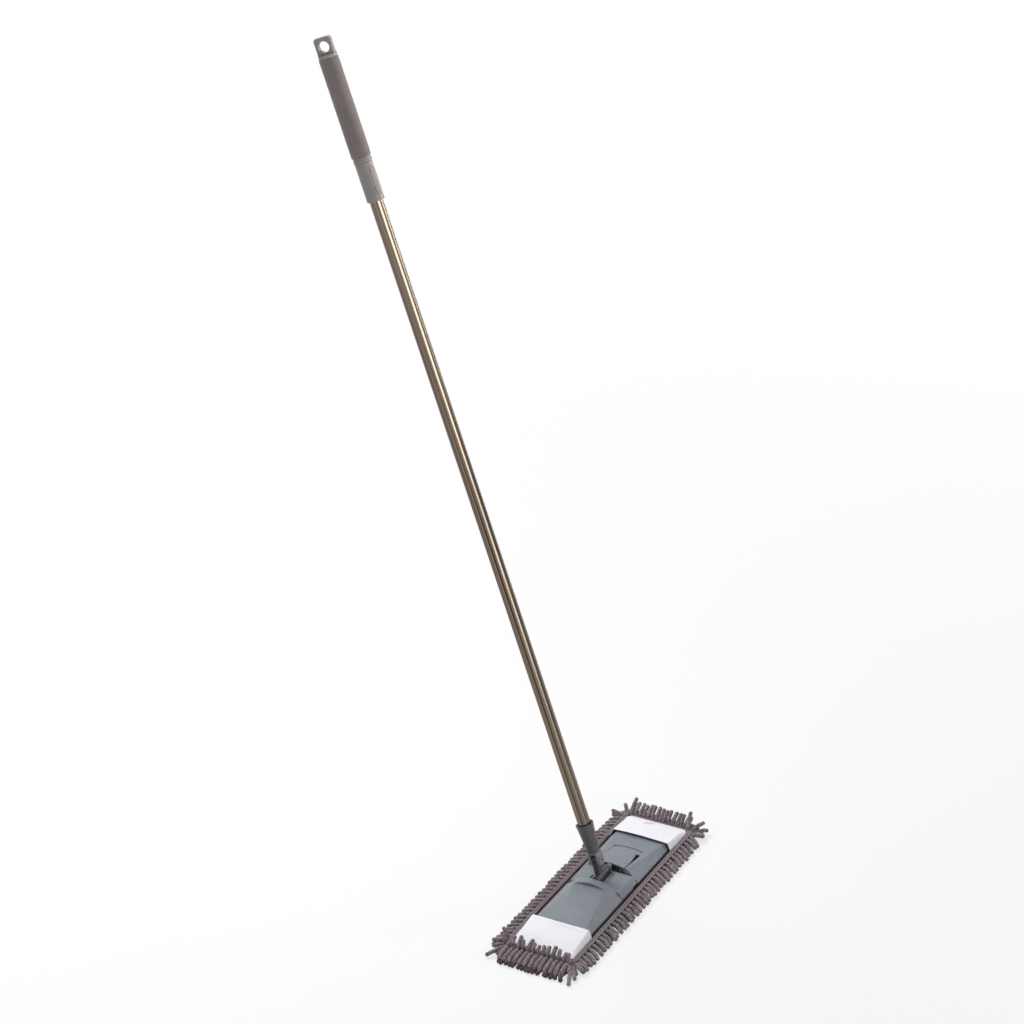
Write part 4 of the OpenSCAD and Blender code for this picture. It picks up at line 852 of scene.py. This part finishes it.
def tape_profile(wave):
    """The tape's section as (inward, height); wave, from -1 to 1, is the cross rib at this place."""
    points = [(TAPE_FOOT, 0.0)]
    for k in range(TAPE_POINTS + 1):
        inward = BINDING_W * k / TAPE_POINTS
        lobe = abs(math.sin(math.pi * inward / (BINDING_W / 2))) ** 0.5
        height = max(RIB_H * lobe + RIB_BASE, GROOVE_H)
        way = (k == TAPE_POINTS) - (k == 0)
        if way:
            height = TAPE_EDGE_H
        share = 0.5 if way or k == TAPE_POINTS // 2 else 1.0
        points.append((inward + CROSS_RIB_OUT * wave * way, height + CROSS_RIB_H * wave * share))
    points.append((BINDING_W - TAPE_FOOT, 0.0))
    return points


def tape_rows(path):
    """The tape's sections along the path, with a slight sway."""
    rows, run = [], 0.0
    for i, (x, y, nx, ny) in enumerate(path):
        if i:
            run += math.hypot(x - path[i - 1][0], y - path[i - 1][1])
        wave = math.sin(2 * math.pi * run / CROSS_RIB)
        sway = TAPE_SWAY * wobble(x, y, SWAY_SCALE, 3)
        swell = TAPE_SWELL * wobble(x, y, SWELL_SCALE, 8)
        row = []
        for inward, height in tape_profile(wave):
            if height > SWAY_FROM:
                inward += sway
            inward = min(BINDING_W, max(0.0, inward))
            row.append(Vector((x - nx * inward, y - ny * inward, BINDING_Z + height * (1 + swell))))
        rows.append(row)
    return rows


for end, body, e in HALVES:
    x0 = BEND_X0 if e < 0 else FAR_TAPE_X0
    mesh = Mesh()
    mesh.grid(tape_rows(outline(PAD_X, PAD_Y, PAD_R, x0, e, TAPE_STEP)), closed=True)
    ob = mesh.make("tape_%s" % end, TAPE, body)
    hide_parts("binding_%s" % end)
mesh = Mesh()
for s in (-1, 1):
    path = []
    for i in range(BEND_TAPE_STEPS + 1):
        x = BEND_TAPE_X0 + (BEND_TAPE_X1 - BEND_TAPE_X0) * i / BEND_TAPE_STEPS
        path.append((x, s * PAD_Y, 0, s))
    mesh.grid(tape_rows(path), closed=True)
bend_tape = mesh.make("bend_tape", TAPE)
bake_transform(bend_tape)
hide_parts("binding_bend")

# Pockets: places along x, heights there, half widths and the upright lip along the sides
MOUTH, POCKET_BEND, POCKET_CORNER, POCKET_END = 150.0, 192.0, 216.4, 221.4
MOUTH_Z, POCKET_BEND_Z, POCKET_END_Z, POCKET_BASE = 27.0, 21.6, 15.2, 12.65
POCKET_HALF, POCKET_SHOULDER, POCKET_LIP = 56.0, 51.0, 2.2
POCKET_THICK = 0.8
# Points along and across, how often the rows are smoothed, and the row that gives the cut width
POCKET_LONG, POCKET_WIDE, SMOOTH_PASSES, WIDTH_ROW = 110, 150, 3, 20
# The break in the top is rounded between two places, by a mean of heights this far along
ROUND_FROM, ROUND_TO = 156, 216
ROUND_OVER = (-5, -2.5, 0, 2.5, 5)
# Crown of the cloth, and how near the base and the tip it and the folds die out
CROWN_H, FADE_BASE, FADE_TIP = 0.35, 3, 6
# Folds, as (height, scale along, scale across, pattern)
POCKET_FOLDS = ((0.30, 0.07, 0.035, 2), (0.14, 0.19, 0.13, 7))
# Hem of the mouth, and the stitches along it
HEM, HEM_H, HEM_EDGE, SEAM_H, SEAM_WIDE = 8.5, 0.45, 0.35, 0.3, 0.8
STITCH_X, STITCH_HALF, STITCH_LONG, STITCH_PITCH, STITCH_R = MOUTH + 8.6, 44.0, 2.6, 3.4, 0.33
STITCH_PLACES, STITCH_LIFT, STITCH_BOW = (0.0, 0.3, 0.6, 1.0), 0.12, 0.22
# About how far it is over the cloth from the middle to the side, where v goes from 0 to 1
V_LENGTH = 67.0
# The far pocket's arched mouth and crescent crease; the crease runs along (CREASE_U, -CREASE_V)
ARCH_H, ARCH_LONG, ARCH_HALF = 1.5, 6.0, 46
CREASE_X, CREASE_Y = 205, 10.5
CREASE_U, CREASE_V = 0.606, 0.795
CREASE_HALF, CREASE_H, CREASE_RISE = 13.5, 3.8, 10
CREASE_FALL, CREASE_FALL_MORE = 0.4, 1.4


def pocket_top(x):
    """Height of the pocket's top, which breaks once on its way to the tip."""
    if x < POCKET_BEND:
        return MOUTH_Z + (POCKET_BEND_Z - MOUTH_Z) * (x - MOUTH) / (POCKET_BEND - MOUTH)
    return POCKET_BEND_Z + (POCKET_END_Z - POCKET_BEND_Z) * (x - POCKET_BEND) / (POCKET_END - POCKET_BEND)


def pocket_section(x, v):
    """Distance from the middle, height and half width at x, before any folds; v runs across from -1 to 1."""
    top = pocket_top(x)
    if ROUND_FROM < x < ROUND_TO:
        top = sum(pocket_top(x + d) for d in ROUND_OVER) / len(ROUND_OVER)
    cut = max(0.0, x - POCKET_CORNER)
    half, shoulder = POCKET_HALF - cut, POCKET_SHOULDER - cut
    lip_z = POCKET_BASE + POCKET_LIP
    slope = math.hypot(half - shoulder, max(0.1, top - lip_z))
    s = abs(v) * (shoulder + slope + POCKET_LIP)
    if s <= shoulder:
        return s, top, half
    if s <= shoulder + slope:
        t = (s - shoulder) / slope
        return shoulder + (half - shoulder) * t, top + (lip_z - top) * t, half
    return half, lip_z - (s - shoulder - slope), half


def crease(x, y):
    """The crescent crease: it rises slowly, falls steeply and is highest at its middle."""
    run = CREASE_U * (x - CREASE_X) - CREASE_V * (y - CREASE_Y)
    past = -CREASE_V * (x - CREASE_X) - CREASE_U * (y - CREASE_Y)
    lens = max(0.0, 1 - (run / CREASE_HALF) ** 2)
    if past < 0:
        slope = 1 + past / CREASE_RISE
    else:
        slope = 1 - past / (CREASE_FALL + CREASE_FALL_MORE * lens)
    return CREASE_H * lens * max(0.0, slope)


def pocket_point(x, v, e):
    """A point of the pocket's outer face: v runs across it from -1 to 1."""
    y, z, half = pocket_section(x, v)
    side = math.copysign(1, v)
    fade = min(1.0, max(0.0, (z - POCKET_BASE) / FADE_BASE)) * min(1.0, (POCKET_END - x) / FADE_TIP)
    crown = CROWN_H * (1 - (y / half) ** 2) * fade
    folds = 0.0
    for height, along, across, pattern in POCKET_FOLDS:
        folds += height * noise.noise(Vector((x * along, side * y * across, pattern + e)))
    hem = HEM_H / (1 + math.exp((x - MOUTH - HEM) / HEM_EDGE))
    hem -= SEAM_H * math.exp(-((x - STITCH_X) / SEAM_WIDE) ** 2)
    if e > 0:
        crown += ARCH_H * math.exp(-((x - MOUTH) / ARCH_LONG) ** 2) * max(0.0, 1 - (y / ARCH_HALF) ** 2)
        crown += crease(x, side * y)
    return Vector((e * x, side * y, z + crown + (folds + hem) * fade))


def pocket_rows(e):
    """The pocket's face in rows across it, smoothed, with one row turned down at the tip."""
    rows = []
    for i in range(POCKET_LONG + 1):
        x = MOUTH + (POCKET_END - MOUTH) * i / POCKET_LONG
        row = [pocket_point(x, -1 + 2 * j / POCKET_WIDE, e) for j in range(POCKET_WIDE + 1)]
        for _ in range(SMOOTH_PASSES):
            inner = [(row[j - 1] + row[j] * 2 + row[j + 1]) / 4 for j in range(1, POCKET_WIDE)]
            row = [row[0]] + inner + [row[-1]]
        rows.append(row)
    rows.append([Vector((p.x, p.y, POCKET_BASE + (p.z - POCKET_BASE) * 0.5)) for p in rows[-1]])
    return rows


def pocket_stitches(end, body, e):
    """The row of stitches along the hem."""
    mesh = Mesh()
    y = -STITCH_HALF
    while y < STITCH_HALF:
        path = []
        for t in STITCH_PLACES:
            p = pocket_point(STITCH_X, (y + STITCH_LONG * t) / V_LENGTH, e)
            path.append(p + Vector((0, 0, STITCH_LIFT + STITCH_BOW * math.sin(math.pi * t))))
        noodle(mesh, path, STITCH_R, 1, rings=6, sides=6, lumps=0.0)
        y += STITCH_PITCH
    st = mesh.make("pocket_stitch_%s" % end, STITCH, body)
    return st


def pocket(end, body, e):
    """A pocket of cloth over the tip of a wing, with the stitches along its hem."""
    rows = pocket_rows(e)
    if e < 0:
        rows.reverse()
    mesh = Mesh()
    mesh.grid(rows)
    ob = mesh.make("pocket_cloth_%s" % end, COTTON, body)
    thicken(ob, POCKET_THICK)
    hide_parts("pocket_%s" % end)
    st = pocket_stitches(end, body, e)


for end, body, e in HALVES:
    pocket(end, body, e)

# Foam grip: a sleeve turned about the handle, with slightly uneven skin
SLEEVE_BORE, SLEEVE_FACE, SLEEVE_R, SLEEVE_ROUND = 11.3, 13.4, 15.9, 2.3
ROUND_STEPS, SLEEVE_STEPS, SLEEVE_SIDES = 5, 120, 72
ROUND_GAP = 0.1
# Skin outside this radius, as (height, scale)
SKIN_FROM = 13
SKIN = ((0.10, 0.05), (0.05, 0.4))


def sleeve_profile(low, high):
    """The sleeve's section as (place along the handle, radius), round from bore to bore."""
    turn = []
    for k in range(ROUND_STEPS + 1):
        a = math.pi / 2 * k / ROUND_STEPS
        inset, drop = SLEEVE_ROUND * (1 - math.cos(a)), SLEEVE_ROUND * (1 - math.sin(a))
        turn.append((inset, SLEEVE_R - drop))
    edge = SLEEVE_ROUND + ROUND_GAP
    profile = [(low, SLEEVE_BORE), (low, SLEEVE_FACE)]
    profile += [(low + inset, r) for inset, r in turn]
    for k in range(1, SLEEVE_STEPS):
        profile.append((low + edge + (high - low - 2 * edge) * k / SLEEVE_STEPS, SLEEVE_R))
    profile += [(high - inset, r) for inset, r in reversed(turn)]
    profile += [(high, SLEEVE_FACE), (high, SLEEVE_BORE)]
    return profile


def grip():
    """The sleeve, as long as the CAD grip."""
    aside = Vector((1, 0, 0))
    across = ALONG.cross(aside).normalized()
    places = [(Vector(v.co) / MM - AXLE).dot(ALONG) for v in NODES["foam_grip"].data.vertices]
    rows = []
    for s, r in sleeve_profile(min(places), max(places)):
        row = []
        for j in range(SLEEVE_SIDES):
            a = 2 * math.pi * j / SLEEVE_SIDES
            out = aside * math.cos(a) + across * math.sin(a)
            p = AXLE + ALONG * s + out * r
            if r > SKIN_FROM:
                p += out * sum(height * noise.noise(p * scale) for height, scale in SKIN)
            row.append(p)
        rows.append(row)
    mesh = Mesh()
    mesh.grid(rows, closed=True)
    sleeve = mesh.make("grip_sleeve", FOAM, "upper_handle")
    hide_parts("foam_grip")


grip()

# Floor and world, in metres: a white background that metal shows too, and a soft light from the back
FLOOR_HALF = 30.0
FLOOR_GREY = (0.86, 0.86, 0.86, 1)
FADE_FROM, FADE_TO, FADE_NEAR = 0.5, 2.4, 0.7
SKY_FRONT, SKY_BACK = 0.2, 0.5


def sees_background(tree):
    """1 for camera, glossy and transmission rays, else 0."""
    rays = add_node(tree, "ShaderNodeLightPath").outputs
    either = calc(tree, "MAXIMUM", rays["Is Camera Ray"], rays["Is Transmission Ray"])
    return calc(tree, "MAXIMUM", either, rays["Is Glossy Ray"])


def lay_floor():
    """A pale matt floor with the object's shadow, which goes over to white further out."""
    me = bpy.data.meshes.new("floor")
    h = FLOOR_HALF
    me.from_pydata([(-h, -h, 0), (h, -h, 0), (h, h, 0), (-h, h, 0)], [], [(0, 1, 2, 3)])
    floor = bpy.data.objects.new("floor", me)
    scene.collection.objects.link(floor)
    s = Shader("floor", FLOOR_GREY, 0.9)
    s.set("Specular IOR Level", 0.1)
    away = s.add("ShaderNodeVectorMath", {0: s.coords()}, operation="LENGTH").outputs["Value"]
    fade = map_range(s.tree, away, FADE_FROM, FADE_TO, FADE_NEAR, 1.0)
    white = s.calc("MULTIPLY", sees_background(s.tree), fade)
    glow = s.add("ShaderNodeEmission").outputs[0]
    blend = s.add("ShaderNodeMixShader", {0: white, 1: s.out.outputs[0], 2: glow}).outputs[0]
    put(s.tree, s.tree.nodes["Material Output"].inputs["Surface"], blend)
    me.materials.append(s.mat)


def light_world():
    """White where the background is seen, and else a dim light, stronger from the back."""
    world = bpy.data.worlds.new("studio")
    world.use_nodes = True
    scene.world = world
    tree = world.node_tree
    sky = tree.nodes["Background"]
    put(tree, sky.inputs["Color"], (1, 1, 1, 1))
    way = add_node(tree, "ShaderNodeTexCoord").outputs["Generated"]
    y = add_node(tree, "ShaderNodeSeparateXYZ", {0: way}).outputs["Y"]
    light = map_range(tree, y, -1.0, 1.0, SKY_FRONT, SKY_BACK)
    put(tree, sky.inputs["Strength"], calc(tree, "MAXIMUM", light, sees_background(tree)))


def lamp(name, place, aim, size, power, spread=180):
    """An area lamp at a place, turned to its aim; power in watts, spread in degrees."""
    light = bpy.data.lights.new(name, "AREA")
    light.spread = math.radians(spread)
    light.shape = "RECTANGLE"
    light.size, light.size_y = size
    light.energy = power
    ob = bpy.data.objects.new(name, light)
    scene.collection.objects.link(ob)
    back = (Vector(place) - Vector(aim)).normalized()
    ob.matrix_world = Matrix.Translation(place) @ back.to_track_quat("Z", "Y").to_matrix().to_4x4()


lay_floor()
light_world()
lamp("key", (0.8, 2.3, 3.3), (0, 0.1, 0.15), (2.0, 2.0), 125)
lamp("front", (-2.9, 1.2, 2.6), (0, 0.2, 0.5), (1.0, 1.6), 7)
lamp("side", (-1.2, -2.9, 1.6), (0, 0.4, 1.2), (1.9, 2.4), 5.5, 36)
lamp("rim", (2.0, -1.5, 1.9), (0, 0.4, 1.1), (0.8, 1.8), 4.5, 30)

# Camera, fitted to the photograph: its place, the way back from the object and its angle of view
CAMERA_PLACE = (-4.0461958, -1.9455228, 2.8754783)
CAMERA_BACK = (-0.79798595, -0.41679133, 0.4353199)
CAMERA_ANGLE = math.radians(18.358379)


def set_camera():
    """The camera at its place, upright."""
    back = Vector(CAMERA_BACK).normalized()
    right = Vector((-back.y, back.x, 0)).normalized()
    up = back.cross(right)
    cam = bpy.data.cameras.new("camera")
    cam.sensor_fit = "AUTO"
    cam.angle = CAMERA_ANGLE
    cam.clip_end = 100
    camera = bpy.data.objects.new("camera", cam)
    matrix = Matrix((right, up, back)).transposed().to_4x4()
    matrix.translation = Vector(CAMERA_PLACE)
    camera.matrix_world = matrix
    scene.collection.objects.link(camera)
    scene.camera = camera


set_camera()
scene.view_settings.view_transform = "Standard"
